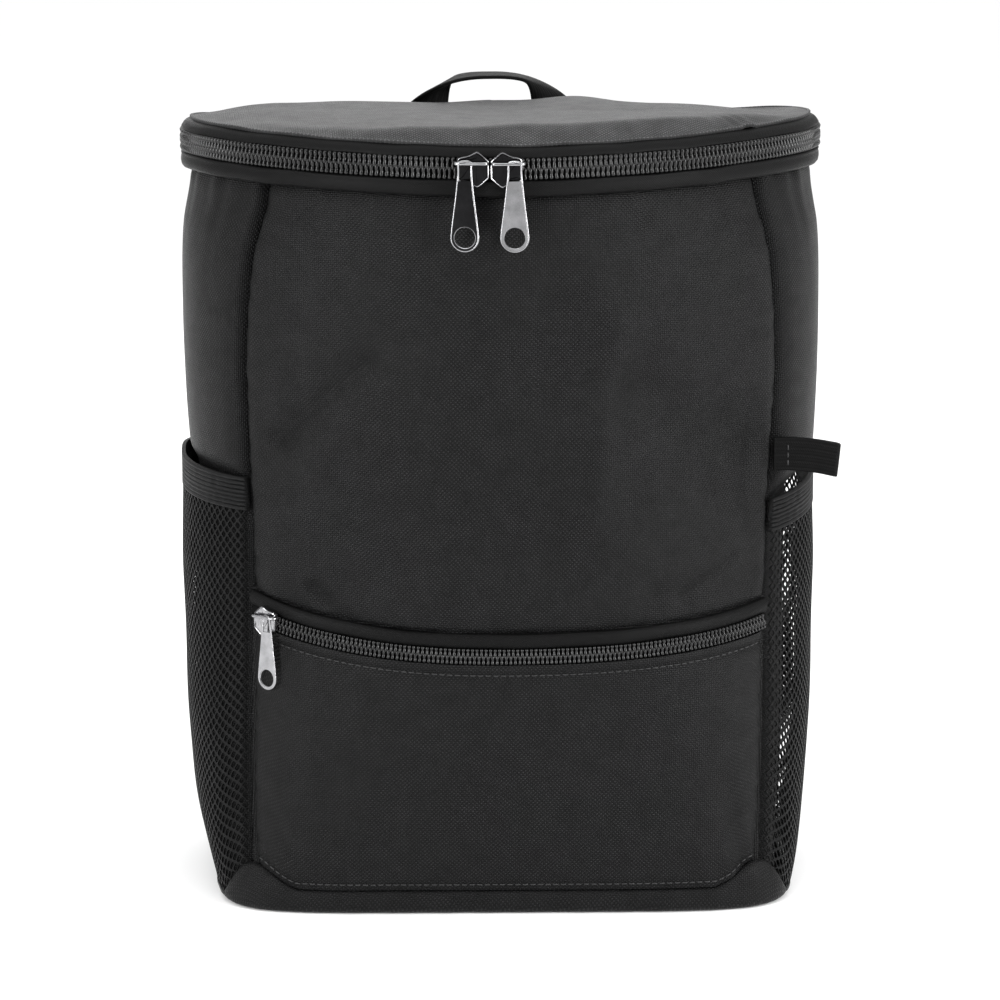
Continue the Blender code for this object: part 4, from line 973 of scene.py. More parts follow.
def base():
    """Flat base whose lip turns up the walls, to a point at each front corner."""
    around = np.linspace(-3, 3, 481)[:-1]
    top = lip_height(around)
    waves = 0.0003 * ripple(around * PANEL_ARC, 0.021, 1.2)
    edge = BASE_ROUND
    # height, inset and how much of the waves each ring has, from the underside round the lip to the inside
    profile = (
        (0.0, 0.020, 0),
        (0.0, edge, 0),
        (edge * 0.10, edge * 0.55, 0.3),
        (edge * 0.35, edge * 0.25, 0.6),
        (edge * 0.75, edge * 0.05, 1),
        (0.004, 0.0, 1),
        (0.55 * top, -0.0003, 1),
        (top - 0.0022, -0.0002, 0.6),
        (top - 0.0008, 0.0002, 0.2),
        (top, 0.0011, 0),
        (top + 0.0002, 0.0022, 0),
        (BASE_LIP * 0.9, WALL, 0),
        (WALL, WALL + edge, 0),
    )
    rings = [on_skin(np.broadcast_to(height, around.shape), around, inset + waves * share)
             for height, inset, share in profile]
    middle = (0.0, WIDEST_Y / 2)
    piece = closed_rings("base_with_lip", np.array(rings), (*middle, 0.0), (*middle, WALL), PACKCLOTH)
    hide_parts("base_panel")


def lid_points(reach, around, extra=0.0):
    """Top of the lid: a shallow plate that tilts back, warps a little and rolls down at its rim."""
    rim = band_points(rim_height(around), around, RIM_INSET)
    x = rim[:, 0] * reach
    y = WIDEST_Y + (rim[:, 1] - WIDEST_Y) * reach
    plate = ZIP_HEIGHT + LID_RISE - LID_TILT * y - LID_WARP * x * y / (BAG_WIDTH / 2)
    behind = np.clip((y - WIDEST_Y) / 0.04, 0, 1)
    swell = LID_SWELL * np.exp(-((x - 0.045) / 0.045) ** 2)
    sink = LID_SINK * np.exp(-((x + 0.12) / 0.04) ** 2)
    plate = plate + behind * (swell - sink)
    plate = plate - LID_SINK * np.clip(np.abs(x) / 0.125, 0, 1) ** 8
    near_rim = step_up(np.full(around.shape, reach), 0.55, 0.93)
    waves = 0.0006 * ripple(around * PANEL_ARC, 0.060, 0.9) * near_rim
    plate = plate + 0.0007 * softness(x, y, 3.3) + waves
    roll = smooth(LID_ROLL, LID_COLUMNS, "share", reach)
    low = rim[:, 2] + GAP + 0.0004
    gather = 0.0005 * ripple(around * PANEL_ARC, 0.008, 1.9) * bump(np.abs(around - 0.93), 0.0, 0.05, 0.10)
    rise = roll * (1 - roll) * 4 * gather
    return np.stack((x, y, low + (plate - low) * roll + rise + extra), axis=-1)


def lid():
    """Insulated lid, dished underneath inside the strip that it is sewn to."""
    around = np.linspace(-3, 3, 481)[:-1]
    reaches = (0.08, 0.2, 0.32, 0.44, 0.55, 0.65, 0.73, 0.80, 0.85, 0.88, 0.905, 0.925, 0.94, 0.95,
               0.96, 0.968, 0.976, 0.983, 0.989, 0.994, 0.998, 1.0)
    rings = [lid_points(reach, around) for reach in reaches]
    rim = band_points(rim_height(around), around, RIM_INSET)
    rim[:, 2] += GAP
    inner = band_points(rim_height(around), around, RIM_INSET + 0.0020)
    inner[:, 2] -= 0.0006
    under = lid_points(0.80, around, -LID_THICKNESS)
    rings += [rim, inner, under]
    middle = lid_points(0.0, around)[0]
    # The lid's lighter cloth is painted sheen of the light from above
    piece = closed_rings("lid", np.array(rings), middle, middle - np.array((0, 0, LID_THICKNESS)), LIT_LID_CLOTH)
    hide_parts("lid_panel")


def band_places(count):
    """Even places along the band, from back seam to back seam."""
    return np.linspace(-2 + 0.012, 2 - 0.012, count)


def strips():
    """The two cloth strips beside the main zip, and the raised seam under the lid."""
    around = band_places(361)
    names = {1: ("upper_strip", "lid_strip"), -1: ("lower_strip", "body_strip")}
    for side, (name, node) in names.items():
        near = side * (CHAIN_WIDTH / 2 + GAP)
        far = strip_edge(side)
        span = far - near
        sag = 0.00025 * ripple(around * PANEL_ARC, 0.034, 2.0 + side)
        # inset and rise of each corner of the strip's section, from its folded edge by the coil
        profile = (
            (STRIP_CLOTH, near + 0.1 * span),
            (STRIP_CLOTH * 0.75, near),
            (0.0005, near),
            (0.0, near + 0.05 * span),
            (-0.0002, near + 0.14 * span),
            (0.0001, near + 0.24 * span),
            (-0.0002, near + 0.40 * span),
            (-0.0003, near + 0.60 * span),
            (0.0, near + 0.82 * span),
            (0.0008, near + 0.95 * span),
            (0.0020, far),
            (STRIP_DEPTH, far),
            (STRIP_DEPTH, near + 0.45 * span),
        )
        loops = []
        for inset, rise in profile:
            outer = inset < 0.001
            if side > 0:
                depth = LEAN_DEPTH if inset == STRIP_DEPTH else inset * LEAN_SHARE
                rise, inset = lean((rise - near) / span, depth)
            height = band_height(around) + rise + (sag if outer else 0)
            loops.append(band_points(height, around, inset + (sag * 0.8 if outer else 0)))
        piece = bar(name, np.stack(loops, axis=1), STRIPCLOTH)
        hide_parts(node)
    around = np.linspace(-2.0, 2.0, 401)
    wander = 0.0003 * ripple(around * PANEL_ARC, 0.040, 5.0)
    knot = 0.0009 * bump(np.abs(around - 0.95), 0.0, 0.015, 0.03)
    path = band_points(rim_height(around) + 0.0003 + wander + knot, around, RIM_INSET - 0.0002)
    # The welt's lighter cloth is a painted highlight along the seam ridge
    welt = bar("lid_seam_edge", rod_loops(path, 0.0009, 8), LIT_LID_CLOTH)


def zip_tape(name, points_of, height, around, chain, tape_width, cover, tape):
    """The woven tape behind a coil, raised a little under it."""
    half = chain / 2
    wide = tape_width / 2
    face = cover + GAP
    profile = ((face, wide), (face, half), (face - 0.0005, half * 0.8), (face - 0.0005, -half * 0.8),
               (face, -half), (face, -wide), (face + tape, -wide), (face + tape, wide))
    loops = [points_of(height + rise, around, inset) for inset, rise in profile]
    return bar(name, np.stack(loops, axis=1), TAPECLOTH)


def coil_turn(half, pitch, base_height):
    """Half a coil turn: a six-sided bead across the chain with a dip where the sewing thread holds it."""
    across = np.array((-0.16, -0.06, 0.14, 0.36, 0.50, 0.64, 0.84, 0.97, 1.02)) * half
    rise = np.array((0.10, 0.62, 0.78, 0.72, 0.30, 0.62, 0.72, 0.45, -0.20)) * 0.001 + base_height
    radius = np.array((0.55, 1.05, 1.0, 0.90, 0.80, 0.90, 1.1, 0.95, 0.5)) * pitch * 0.36
    turn = 2 * math.pi * np.arange(6) / 6
    x = radius[:, None] * np.cos(turn)
    z = rise[:, None] + 0.8 * radius[:, None] * np.sin(turn)
    loops = np.stack(np.broadcast_arrays(x, across[:, None], z), axis=-1)
    return loops.reshape(-1, 3), tube(loops)


def zip_coil(name, points_of, height_of, around, chain, pitch, node, gaps):
    """Two rows of coil turns that meet in the middle of the zip, half a pitch apart."""
    line = points_of(height_of(around), around, 0.0)
    out_hint = outwards(points_of, height_of(around), around)
    along, across, out = line_frames(line, out_hint)
    clouds, faces, start = [], [], 0
    for side in (1, -1):
        template, parts = coil_turn(chain / 2, pitch, -0.0006)
        at = even_places(line, pitch)
        if side < 0:
            at = np.clip(at + (at[1] - at[0]) / 2, 0, len(line) - 1.001)
        for low, high in gaps:
            where = np.interp(at, np.arange(len(around)), around)
            at = at[(where < low) | (where > high)]
        ways = [normal(sample(way, at)) for way in (along, across, out)]
        ways[1] = ways[1] * side
        points, many = stamp(template, parts, sample(line, at), *ways)
        clouds.append(points.reshape(-1, 3))
        faces += [f.reshape(-1, f.shape[-1]) + start for f in many]
        start += points.shape[0] * points.shape[1]
    cloud = np.concatenate(clouds)
    piece = make_piece(name, cloud, faces, COIL, cloud[:, ::2], sharp=70)
    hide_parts(node)


def main_zip():
    """Tape and coil between the two strips."""
    around = band_places(361)
    tape = zip_tape("main_zip_tape", band_points, band_height(around), around, CHAIN_WIDTH, TAPE_WIDTH,
                    STRIP_CLOTH, TAPE)
    around = band_places(1201)
    zip_coil("main_zip_coil", band_points, band_height, around, CHAIN_WIDTH, CHAIN_PITCH,
             "main_zip", ())


def pocket_points(height, around, inset):
    """Points of the front pocket and what is sewn to it."""
    return on_skin(height, around, inset)


def pocket_zip():
    """Tape and coil of the front pocket, and the strip of cloth above them."""
    around = POCKET_SPREAD * np.linspace(-1, 1, 181)
    zip_line = pocket_zip_height(around)
    tape = zip_tape("pocket_zip_tape", pocket_points, zip_line, around, POCKET_CHAIN, POCKET_CHAIN + 0.006,
                    CLOTH, POCKET_TAPE)
    fine = POCKET_SPREAD * np.linspace(-0.99, 0.99, 801)
    zip_coil("pocket_zip_coil", pocket_points, pocket_zip_height, fine, POCKET_CHAIN, POCKET_PITCH,
             "pocket_zip", ((-1.0, -0.93),))
    near = POCKET_CHAIN / 2 + GAP
    span = POCKET_FLAP - 2 * GAP
    sag = 0.0003 * ripple(around * PANEL_ARC, 0.045, 4.4)
    # inset and rise of each corner of the strip's section, from its folded edge by the coil
    profile = (
        (CLOTH, near),
        (0.0006, near - 0.0002),
        (-0.0001, near + 0.06 * span),
        (-0.0006, near + 0.25 * span),
        (-0.0008, near + 0.50 * span),
        (-0.0005, near + 0.75 * span),
        (0.0002, near + 0.93 * span),
        (0.0010, near + span),
        (0.0022, near + span),
        (0.0022, near + 0.4 * span),
    )
    loops = []
    for inset, rise in profile:
        depth = inset + (sag if inset < 0.001 else 0)
        loops.append(pocket_points(zip_line + rise, around, depth))
    loops = np.stack(loops, axis=1)
    piece = bar("pocket_strip", loops, STRIPCLOTH)
    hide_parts("pocket_flap")


def pocket_face(share, around):
    """Height and inset of the pocket's cloth: a soft bulge, a rolled upper hem and puckered lower corners."""
    top = pocket_zip_height(around) - POCKET_CHAIN / 2 - GAP
    foot = lip_height(around) + 0.0004
    height = foot + (top - foot) * share
    upright = 1 - np.abs(2 * share - 1) ** 3
    bulge = POCKET_BULGE * upright * (1 - np.abs(around) ** 6)
    edge = (POCKET_SPREAD - np.abs(around)) * PANEL_ARC
    below = top - height
    above = height - foot
    hem = -0.0005 * bump(below, 0.0, 0.0025, 0.0015) + 0.0006 * np.exp(-((below - 0.0048) / 0.0016) ** 2)
    side = pinch(edge, 0.0020, 0.0038)
    puckers = 0.0005 * ripple(height, 0.011, 2.2 + np.sign(around)) * np.exp(-edge / 0.009)
    corner = 0.0010 * ripple(around * PANEL_ARC + 0.5 * height, 0.012, 1.4) * np.exp(-above / 0.010)
    corner = corner * step_up(np.abs(around), 0.70, 0.95)
    foot_seam = pinch(above, 0.0022, 0.0010) + 0.0004 * np.exp(-((above - 0.0030) / 0.0013) ** 2)
    pleat = 0.0012 * np.exp(-((around - 0.93 + 0.4 * share * (1 - share)) / 0.035) ** 2) * (1 - share) ** 2
    foam = 0.0005 * softness(around * PANEL_ARC, height, 7.7) * np.clip(edge / 0.02, 0, 1)
    return height, hem + side + puckers + corner + foot_seam + pleat + foam - bulge


def front_pocket():
    """Cloth pocket on the lower front, stitched below its zip and above the base's lip."""
    around = POCKET_SPREAD * np.linspace(-1, 1, 181)
    share = np.linspace(0, 1, 91)[:, None]
    height, inset = pocket_face(share, around)
    wide = np.broadcast_to(around, height.shape)
    outer = pocket_points(height, wide, inset)
    piece = panel("pocket_cloth", outer, pocket_points(height, wide, inset + 0.0010), PACKCLOTH)
    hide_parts("front_pocket")
    line_around = np.linspace(-0.965, 0.965, 401)
    top = pocket_zip_height(line_around) - POCKET_CHAIN / 2 - GAP
    foot = lip_height(line_around) + 0.0004
    for name, share_at in (("pocket_top_stitches", (top - 0.0048 - foot) / (top - foot)),
                           ("pocket_foot_stitches", 0.0030 / (top - foot))):
        height, inset = pocket_face(share_at, line_around)
        line = pocket_points(height, line_around, inset - 0.0001)
        row = stitches(name, line, outwards(pocket_points, height, line_around), THREAD)


def net(side):
    """Open net: a lattice of diamonds, each with an eight-sided hole, between an outer and an inner face."""
    sign = -1 if side == "left" else 1

    def place(across, up, layer):
        """Net coordinates to the skin: across and up count cells."""
        share = across / MESH_COLUMNS
        around = sign * (1 + MESH_SPREAD + (1 - 2 * MESH_SPREAD) * share)
        low = np.maximum(MESH_FOOT, lip_height(around) - 0.001)
        height = low + (hem_line(side, share) + 0.002 - low) * up / MESH_ROWS
        wave = MESH_SLACK * softness(share * PANEL_ARC, height, 6.0 + sign) * np.sin(math.pi * share)
        tuck = pinch(share * PANEL_ARC, 0.004, 0.0012)
        return on_skin(height, around, wave + tuck + layer - net_bulge(side, height, share))

    c, r = np.meshgrid(np.arange(MESH_COLUMNS) + 0.5, np.arange(MESH_ROWS) + 0.5)
    c2, r2 = np.meshgrid(np.arange(1, MESH_COLUMNS), np.arange(1, MESH_ROWS))
    centres = np.concatenate((np.stack((c.ravel(), r.ravel()), -1), np.stack((c2.ravel(), r2.ravel()), -1)))
    corner = np.array(((0.5, 0), (0.25, 0.25), (0, 0.5), (-0.25, 0.25),
                       (-0.5, 0), (-0.25, -0.25), (0, -0.5), (0.25, -0.25)))
    hole = np.array(((0.33, 0), (0.20, 0.21), (0, 0.34), (-0.20, 0.21),
                     (-0.33, 0), (-0.20, -0.21), (0, -0.34), (0.20, -0.21)))
    outer = (centres[:, None] + corner).reshape(-1, 2)
    inner = (centres[:, None] + hole).reshape(-1, 2)
    keys = np.round(outer * 4).astype(int)
    unique, index = np.unique(keys, axis=0, return_inverse=True)
    index = index.reshape(-1, 8)
    flat = np.concatenate((unique / 4.0, inner))
    ring = len(unique) + np.arange(len(inner)).reshape(-1, 8)
    after = np.roll(np.arange(8), -1)
    count = len(flat)
    top = np.stack((index, index[:, after], ring[:, after], ring), axis=-1).reshape(-1, 4)
    walls = np.stack((ring, ring[:, after], ring[:, after] + count, ring + count), axis=-1).reshape(-1, 4)
    once = {}
    for a, b in top[:, :2]:
        key = (min(a, b), max(a, b))
        once[key] = None if key in once else (a, b)
    rim = np.array([pair for pair in once.values() if pair is not None])
    border = np.stack((rim[:, 0], rim[:, 1], rim[:, 1] + count, rim[:, 0] + count), axis=-1)
    points = np.concatenate([place(flat[:, 0], flat[:, 1], layer) for layer in (0.0, MESH_THICKNESS)])
    uv = np.concatenate((flat, flat)) * 0.0035
    piece = make_piece("net_" + side, points, (top, top + count, walls, border), NETTING, uv, sharp=80)
    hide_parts("mesh_pocket_" + side)
    return piece


def hem(side):
    """Ribbed elastic along the mouth of a side pocket, gathered towards the front seam."""
    sign = -1 if side == "left" else 1
    share = np.linspace(0, 1, 161)
    around = sign * (1 + 0.006 + (1 - 0.012) * share)
    low = hem_line(side, share)
    gather = 0.0007 * ripple(share * PANEL_ARC, 0.006, 1.0) * np.exp(-share / 0.10)
    ribs = 8
    up = np.linspace(0, 1, 6 * ribs + 1)
    rib = -0.00028 * np.abs(np.sin(math.pi * ribs * up)) ** 0.7
    rib = rib * (1 + 2.2 * np.exp(-share[:, None] / 0.12)) + gather[:, None] * np.sin(2 * math.pi * up)
    front_tuck = pinch(share * PANEL_ARC, 0.005, 0.0016)[:, None]
    height = low[:, None] + HEM_HEIGHT * up
    wide = np.broadcast_to(around[:, None], height.shape)
    proud = net_bulge(side, height, share[:, None])
    outer = on_skin(height, wide, rib + front_tuck - proud)
    inner = on_skin(height[:, ::-1], wide, HEM_THICKNESS * 0.8 + front_tuck - proud[:, ::-1])
    loops = np.concatenate((outer, inner[:, ::6]), axis=1)
    piece = bar("hem_" + side, loops, ELASTIC, sharp=80)
    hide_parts("mesh_hem_" + side)
    return piece


def side_pockets():
    """Both side pockets, each a sheet of net with its elastic hem."""
    for side in ("left", "right"):
        piece = net(side)
        band = hem(side)


def webbing_loops(path, across, thickness):
    """Section of a flat webbing with rounded selvedges at each point of a path."""
    path = np.asarray(path, float)
    across = np.asarray(across, float)
    ahead = np.gradient(path, axis=0)
    out = normal(np.cross(ahead, across)) * thickness / 2
    # share of the half width and of the half thickness of each corner
    corners = ((1.0, 0.35), (0.975, 0.85), (0.93, 1.0), (0.5, 1.06), (0.0, 1.08), (-0.5, 1.06),
               (-0.93, 1.0), (-0.975, 0.85), (-1.0, 0.35), (-1.0, -0.35), (-0.975, -0.85), (-0.93, -1.0),
               (-0.5, -1.06), (0.0, -1.08), (0.5, -1.06), (0.93, -1.0), (0.975, -0.85), (1.0, -0.35))
    return np.stack([path + across * u + out * v for u, v in corners], axis=1)


def resample(path, count, *others):
    """A path and its companions at even lengths, by smooth curves through their points."""
    path = np.asarray(path, float)
    length = np.concatenate(([0.0], np.cumsum(np.linalg.norm(np.diff(path, axis=0), axis=-1))))
    at = np.linspace(0, length[-1], count)
    found = []
    for rows in (path, *others):
        columns = [smooth(np.stack((length, column), axis=1), ("s", "v"), "v", at) for column in rows.T]
        found.append(np.stack(columns, axis=1))
    return found


def back_face(x, height):
    """How far back the back panel's outer face lies at a place, twist included."""
    across = np.linspace(2.0, 3.0, 41)
    line = wall_points(np.full(across.shape, height), across, 0.0)
    mirrored = wall_points(np.full(across.shape, height), -across, 0.0)
    both = np.concatenate((mirrored[:, :2], line[::-1, :2]))
    return float(np.interp(x, both[:, 0], both[:, 1]))


def seat_behind(x, half_width, low, high):
    """Outermost place of the back panel's face behind a patch that something lies on."""
    places = [x + half_width * share for share in np.linspace(-1, 1, 5)]
    heights = [low + (high - low) * share for share in np.linspace(0, 1, 5)]
    return GAP + max(back_face(place, height) for place in places for height in heights)


def carry_handle():
    """Webbing whose legs lie flat on the back panel and twist to lie flat over the crown."""
    turn = np.linspace(0, math.pi, 19)
    half = HANDLE_SPAN / 2
    reach = half + HANDLE_WEBBING / 2 + abs(HANDLE_MIDDLE)
    foot = ZIP_HEIGHT - HANDLE_DROP
    crown = ZIP_HEIGHT + HANDLE_RISE
    seat = seat_behind(0.0, reach, foot, ZIP_HEIGHT) + HANDLE_THICKNESS / 2
    spring = crown - HANDLE_ARCH
    arch_x = HANDLE_MIDDLE - half * np.sign(np.cos(turn)) * np.abs(np.cos(turn)) ** 0.75
    arch_z = spring + HANDLE_ARCH * np.sin(turn) ** 0.8
    tilt = HANDLE_LEAN * np.sin(turn) ** 2
    arch = np.stack((arch_x, seat + 2 * HANDLE_STEP + tilt, arch_z), axis=1)
    left = HANDLE_MIDDLE - half
    free = (foot + HANDLE_SEWN + spring) / 2
    legs = np.array([(left, seat, foot), (left, seat, foot + HANDLE_SEWN), (left, seat + HANDLE_STEP, free)])
    other = legs[::-1].copy()
    other[:, 0] = 2 * HANDLE_MIDDLE - other[:, 0]
    path = np.concatenate((legs, arch, other))
    twist = np.concatenate((np.zeros(3), np.sin(turn) ** 1.5, np.zeros(3)))
    angle = np.radians(88) * twist
    side = np.concatenate((np.ones(3), np.cos(turn), -np.ones(3)))
    across = np.stack((np.cos(angle), np.sin(angle), 0.25 * np.sin(2 * angle) * side), axis=1)
    across = normal(across) * HANDLE_WEBBING / 2
    path, across = resample(path, 121, across)
    piece = bar("handle_webbing", webbing_loops(path, across, HANDLE_THICKNESS), WEBBING)
    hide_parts("carry_handle")
    for name, x in (("left", left), ("right", 2 * HANDLE_MIDDLE - left)):
        box_stitch("handle_box_" + name, (x, seat + HANDLE_THICKNESS * 0.54, foot + HANDLE_SEWN / 2),
                   (HANDLE_WEBBING / 2 - 0.003, 0, 0), (0, 0, HANDLE_SEWN / 2 - 0.0015), (0, 1, 0))


def box_stitch(name, middle, half_across, half_up, out):
    """A sewn box with a cross in it, on a flat piece of webbing."""
    middle, a, b = (np.array(v, float) for v in (middle, half_across, half_up))
    corners = [middle - a - b, middle + a - b, middle + a + b, middle - a + b]
    lines = list(zip(corners, corners[1:] + corners[:1]))
    lines += [(corners[0], corners[2]), (corners[1], corners[3])]
    template, parts = dash_template(0.0022, 0.00030)
    spots, along = [], []
    for start, end in lines:
        count = max(2, int(np.linalg.norm(end - start) / 0.0027))
        t = (np.arange(count) + 0.5) / count
        spots.append(start + (end - start) * t[:, None])
        along.append(np.broadcast_to(normal(end - start), (count, 3)))
    spots, along = np.concatenate(spots), np.concatenate(along)
    away = np.broadcast_to(normal(np.array(out, float)), spots.shape)
    piece = stamped(name, template, parts, spots, along, np.cross(away, along), away, THREAD)


def side_loop():
    """Short folded webbing that stands out of the right front seam, with a few stitches at its root."""
    start = on_skin(np.array(LOOP_HEIGHT), np.array(1.0), np.array(0.0))
    root = start + np.array((GAP, -LOOP_FORWARD, 0))
    turn = np.linspace(-math.pi / 2, math.pi / 2, 13)
    straight = LOOP_LENGTH - LOOP_FOLD
    fold_x = straight + LOOP_FOLD * np.cos(turn)
    fold_y = LOOP_FOLD * np.sin(turn)
    near = LOOP_THICKNESS / 2 + GAP / 2
    away = np.linspace(-0.002, straight * 0.8, 9)
    x = np.concatenate((away, fold_x, np.linspace(straight * 0.8, -0.002, 9)))
    y = np.concatenate((np.linspace(-near, -near * 1.6, 9), fold_y, np.linspace(near * 1.6, near, 9)))
    droop = -LOOP_DROOP * (x / LOOP_LENGTH) ** 2
    path = np.stack((root[0] + x, root[1] + y, root[2] + droop), axis=1)
    across = np.tile((0.0, 0.0, LOOP_WEBBING / 2), (len(path), 1))
    across[:, 0] = 0.10 * LOOP_WEBBING / 2 * np.clip(x / LOOP_LENGTH, 0, 1)
    piece = bar("loop_webbing", webbing_loops(path, across, LOOP_THICKNESS), WEBBING)
    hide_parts("side_loop")
    heights = np.linspace(-0.0056, 0.0056, 60)
    stitch_y = root[1] - near * 1.15 - LOOP_THICKNESS * 0.55
    line = np.stack((np.full(60, root[0] + 0.0042), np.full(60, stitch_y), root[2] + heights), axis=1)
    row = stitches("loop_stitches", line, np.broadcast_to((0.0, -1.0, 0.0), line.shape), THREAD)


def small_frame(height_of, points_of, around):
    """Place of a slider: its spot on the skin, the way along the zip, outwards and up."""
    at = np.array(around)
    step = 0.02
    middle = height_of(at)
    spot = points_of(middle, at, np.array(0.0))
    ahead = points_of(middle, at + step, np.array(0.0)) - points_of(middle, at - step, np.array(0.0))
    out = normal(np.array((ahead[1], -ahead[0], 0.0)))
    along = np.array((-out[1], out[0], 0.0))
    return spot, along, out, np.array((0.0, 0.0, 1.0))


def in_place(local, seat):
    """Local points (along the zip, outwards, up) in the bag's frame."""
    spot, along, out, up = seat
    local = np.asarray(local, float)
    return spot + local[..., 0:1] * along + local[..., 1:2] * out + local[..., 2:3] * up


def shrunk(outline, amount):
    """A closed outline moved inwards by an amount, along the bisectors of its corners."""
    before = outline - np.roll(outline, 1, axis=0)
    after = np.roll(outline, -1, axis=0) - outline
    way = normal(normal(before) + normal(after))
    inward = np.stack((-way[:, 1], way[:, 0]), axis=-1)
    area = np.sum(outline[:, 0] * np.roll(outline[:, 1], -1) - np.roll(outline[:, 0], -1) * outline[:, 1])
    return outline + inward * amount * np.sign(area)


def slider_body(seat, crown_side, scale, eye_x):
    """Loops of the slider's plate, skirt and rim, and of its crown bar."""
    length = SLIDER_LENGTH * scale
    rows = ((0.0, 0.55), (0.05, 0.66), (0.15, 0.72), (0.30, 0.76), (0.42, 0.84), (0.52, 0.94), (0.60, 1.0),
            (0.68, 0.97), (0.78, 0.84), (0.88, 0.68), (0.96, 0.56), (1.0, 0.46))
    share, half = np.array(rows).T
    x = crown_side * length * (0.5 - share)
    z = SLIDER_HEIGHT * scale / 2 * half
    outline = np.concatenate((np.stack((x, z), -1), np.stack((x[::-1], -z[::-1]), -1)))
    top = PLATE_FACE
    rings = ((0.0, 0.0006), (0.0, top - 0.0005), (0.00012, top - 0.00015), (0.0004, top), (0.0008, top),
             (0.0011, top - 0.0003), (0.0025, top - 0.0003))
    loops = []
    for inward, outward in rings:
        ring = shrunk(outline, inward)
        loops.append(np.stack((ring[:, 0], np.full(len(ring), outward), ring[:, 1]), axis=-1))
    radius = CROWN_RADIUS
    reach = EYE_WIDTH * scale / 2 + GAP + radius
    outer = eye_x + crown_side * reach
    inner = eye_x - crown_side * (reach + EYE_WIDTH * scale * 0.9)
    axis_out = PLATE_FACE + EYE_REACH + GAP
    corner = 0.0013
    turn = np.linspace(0, math.pi / 2, 6)
    rise = CROWN_RISE * scale
    path = [(outer, PLATE_FACE - 0.0008, rise)]
    for end, way, turns in ((outer, -crown_side, turn), (inner, crown_side, turn[::-1])):
        for t in turns:
            path.append((end + way * corner * (1 - math.cos(t)), axis_out - corner * (1 - math.sin(t)), rise))
    path.append((inner, PLATE_FACE - 0.0008, rise))
    radii = np.concatenate(([1.5], np.linspace(1.25, 1.0, 6), np.linspace(1.0, 1.25, 6), [1.5])) * radius
    crown = rod_loops(np.array(path), radii, 10)
    return in_place(np.array(loops), seat), in_place(crown, seat)


def pull_outline(scale):
    """Closed outline of a pull below its eye: half widths along its length and a round lower end."""
    length = PULL_LENGTH * scale
    half_width = PULL_WIDTH * scale / 2
    round_z = -(length - half_width)
    rows = ((0.0, 0.50), (0.06, 0.52), (0.14, 0.54), (0.25, 0.60), (0.40, 0.70), (0.55, 0.81), (0.68, 0.91),
            (0.78, 0.975))
    right = [(half_width * w, -length * a) for a, w in rows]
    turn = np.linspace(0.0, math.pi, 25)
    bottom = [(half_width * math.cos(t), round_z - half_width * math.sin(t)) for t in turn]
    left = [(-x, z) for x, z in reversed(right)]
    return np.array(right + bottom + left)


def pull(name, node, body, seat, eye_x, scale, yaw, crown_side, finish):
    """A flat pull: an eye round the crown bar, a raised rim, a sunk bare face and a round hole."""
    axis = np.array((eye_x, PLATE_FACE + EYE_REACH + GAP, CROWN_RISE * scale))
    half_width = PULL_WIDTH * scale / 2
    length = PULL_LENGTH * scale
    round_z = -(length - half_width)
    hole = PULL_HOLE * scale
    outline = shrunk(pull_outline(scale), 0.0006)
    eye_top = EYE_REACH - 0.0006
    turn = np.linspace(0, math.pi, 13)[1:-1]
    top_half = outline[0, 0]
    cap = np.stack((-top_half * np.cos(turn), eye_top * np.sin(turn) ** 0.7), axis=-1)
    rim = np.concatenate((outline, cap))
    rim = rim[::-1] if crown_side < 0 else rim

    def swing(points, forward):
        """Flat points (x, z) to local ones; the eye crosses the bar on a slant, the face is turned by yaw."""
        x, z = points[..., 0], points[..., 1]
        cross = np.clip(1 + (z - eye_top) / (length * 0.16), 0, 1)
        slant = 0.0011 * np.clip(x * crown_side / top_half, -1, 1) * cross
        side = x * math.tan(yaw) * (1 - cross)
        return np.stack((x, forward + slant + side, z), axis=-1) + axis

    fine = resample(np.concatenate((rim, rim[:1])), 121)[0][:-1]
    rim_loops = rod_loops(swing(fine, 0.0), 0.00050, 10, up=(0, 1, 0), closed=True)
    turn = np.linspace(0, 2 * math.pi, 37)[:-1]
    ring = np.stack((hole * np.cos(turn), round_z + hole * np.sin(turn)), axis=-1)
    ring_loops = rod_loops(swing(ring, 0.0), 0.00036, 8, up=(0, 1, 0), closed=True)
    web_top = -length * WEB_TOP + 0.0002
    flat_outline = resample(np.concatenate((outline, outline[:1])), 91)[0][:-1]
    flat_outline = flat_outline[flat_outline[:, 1] < web_top]
    shape = bmesh.new()
    edges = []
    for loop in (flat_outline, ring):
        corners = [shape.verts.new((x, 0.0, z)) for x, z in loop]
        for a, b in zip(corners, corners[1:] + corners[:1]):
            edges.append(shape.edges.new((a, b)))
    filled = bmesh.ops.triangle_fill(shape, edges=edges, use_beauty=True)
    faces = [part for part in filled["geom"] if isinstance(part, bmesh.types.BMFace)]
    pushed = bmesh.ops.extrude_face_region(shape, geom=faces)
    moved = [part for part in pushed["geom"] if isinstance(part, bmesh.types.BMVert)]
    bmesh.ops.translate(shape, verts=moved, vec=(0, WEB_THICKNESS, 0))
    shape.verts.index_update()
    web = np.array([vert.co[:] for vert in shape.verts])
    numbers = [[vert.index for vert in face.verts] for face in shape.faces]
    triangles = np.array([found for found in numbers if len(found) == 3])
    quads = np.array([found for found in numbers if len(found) == 4])
    shape.free()
    web_points = swing(web[:, ::2], web[:, 1] - WEB_THICKNESS / 2)
    edge = np.concatenate((rim_loops.reshape(-1, 3), ring_loops.reshape(-1, 3)))
    parts = [ring_faces(len(rim_loops), 10), ring_faces(len(ring_loops), 8, rim_loops.shape[0] * 10)]
    # Rims in the light copy of the metal: painted highlight on the pull's edges
    rims = make_piece(name + "_rims", in_place(edge, seat), parts, LIT_METAL, edge[:, ::2], body, 40)
    face = make_piece(name, in_place(web_points, seat), (triangles, quads), finish, web[:, ::2], body, 40)
    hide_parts(node)


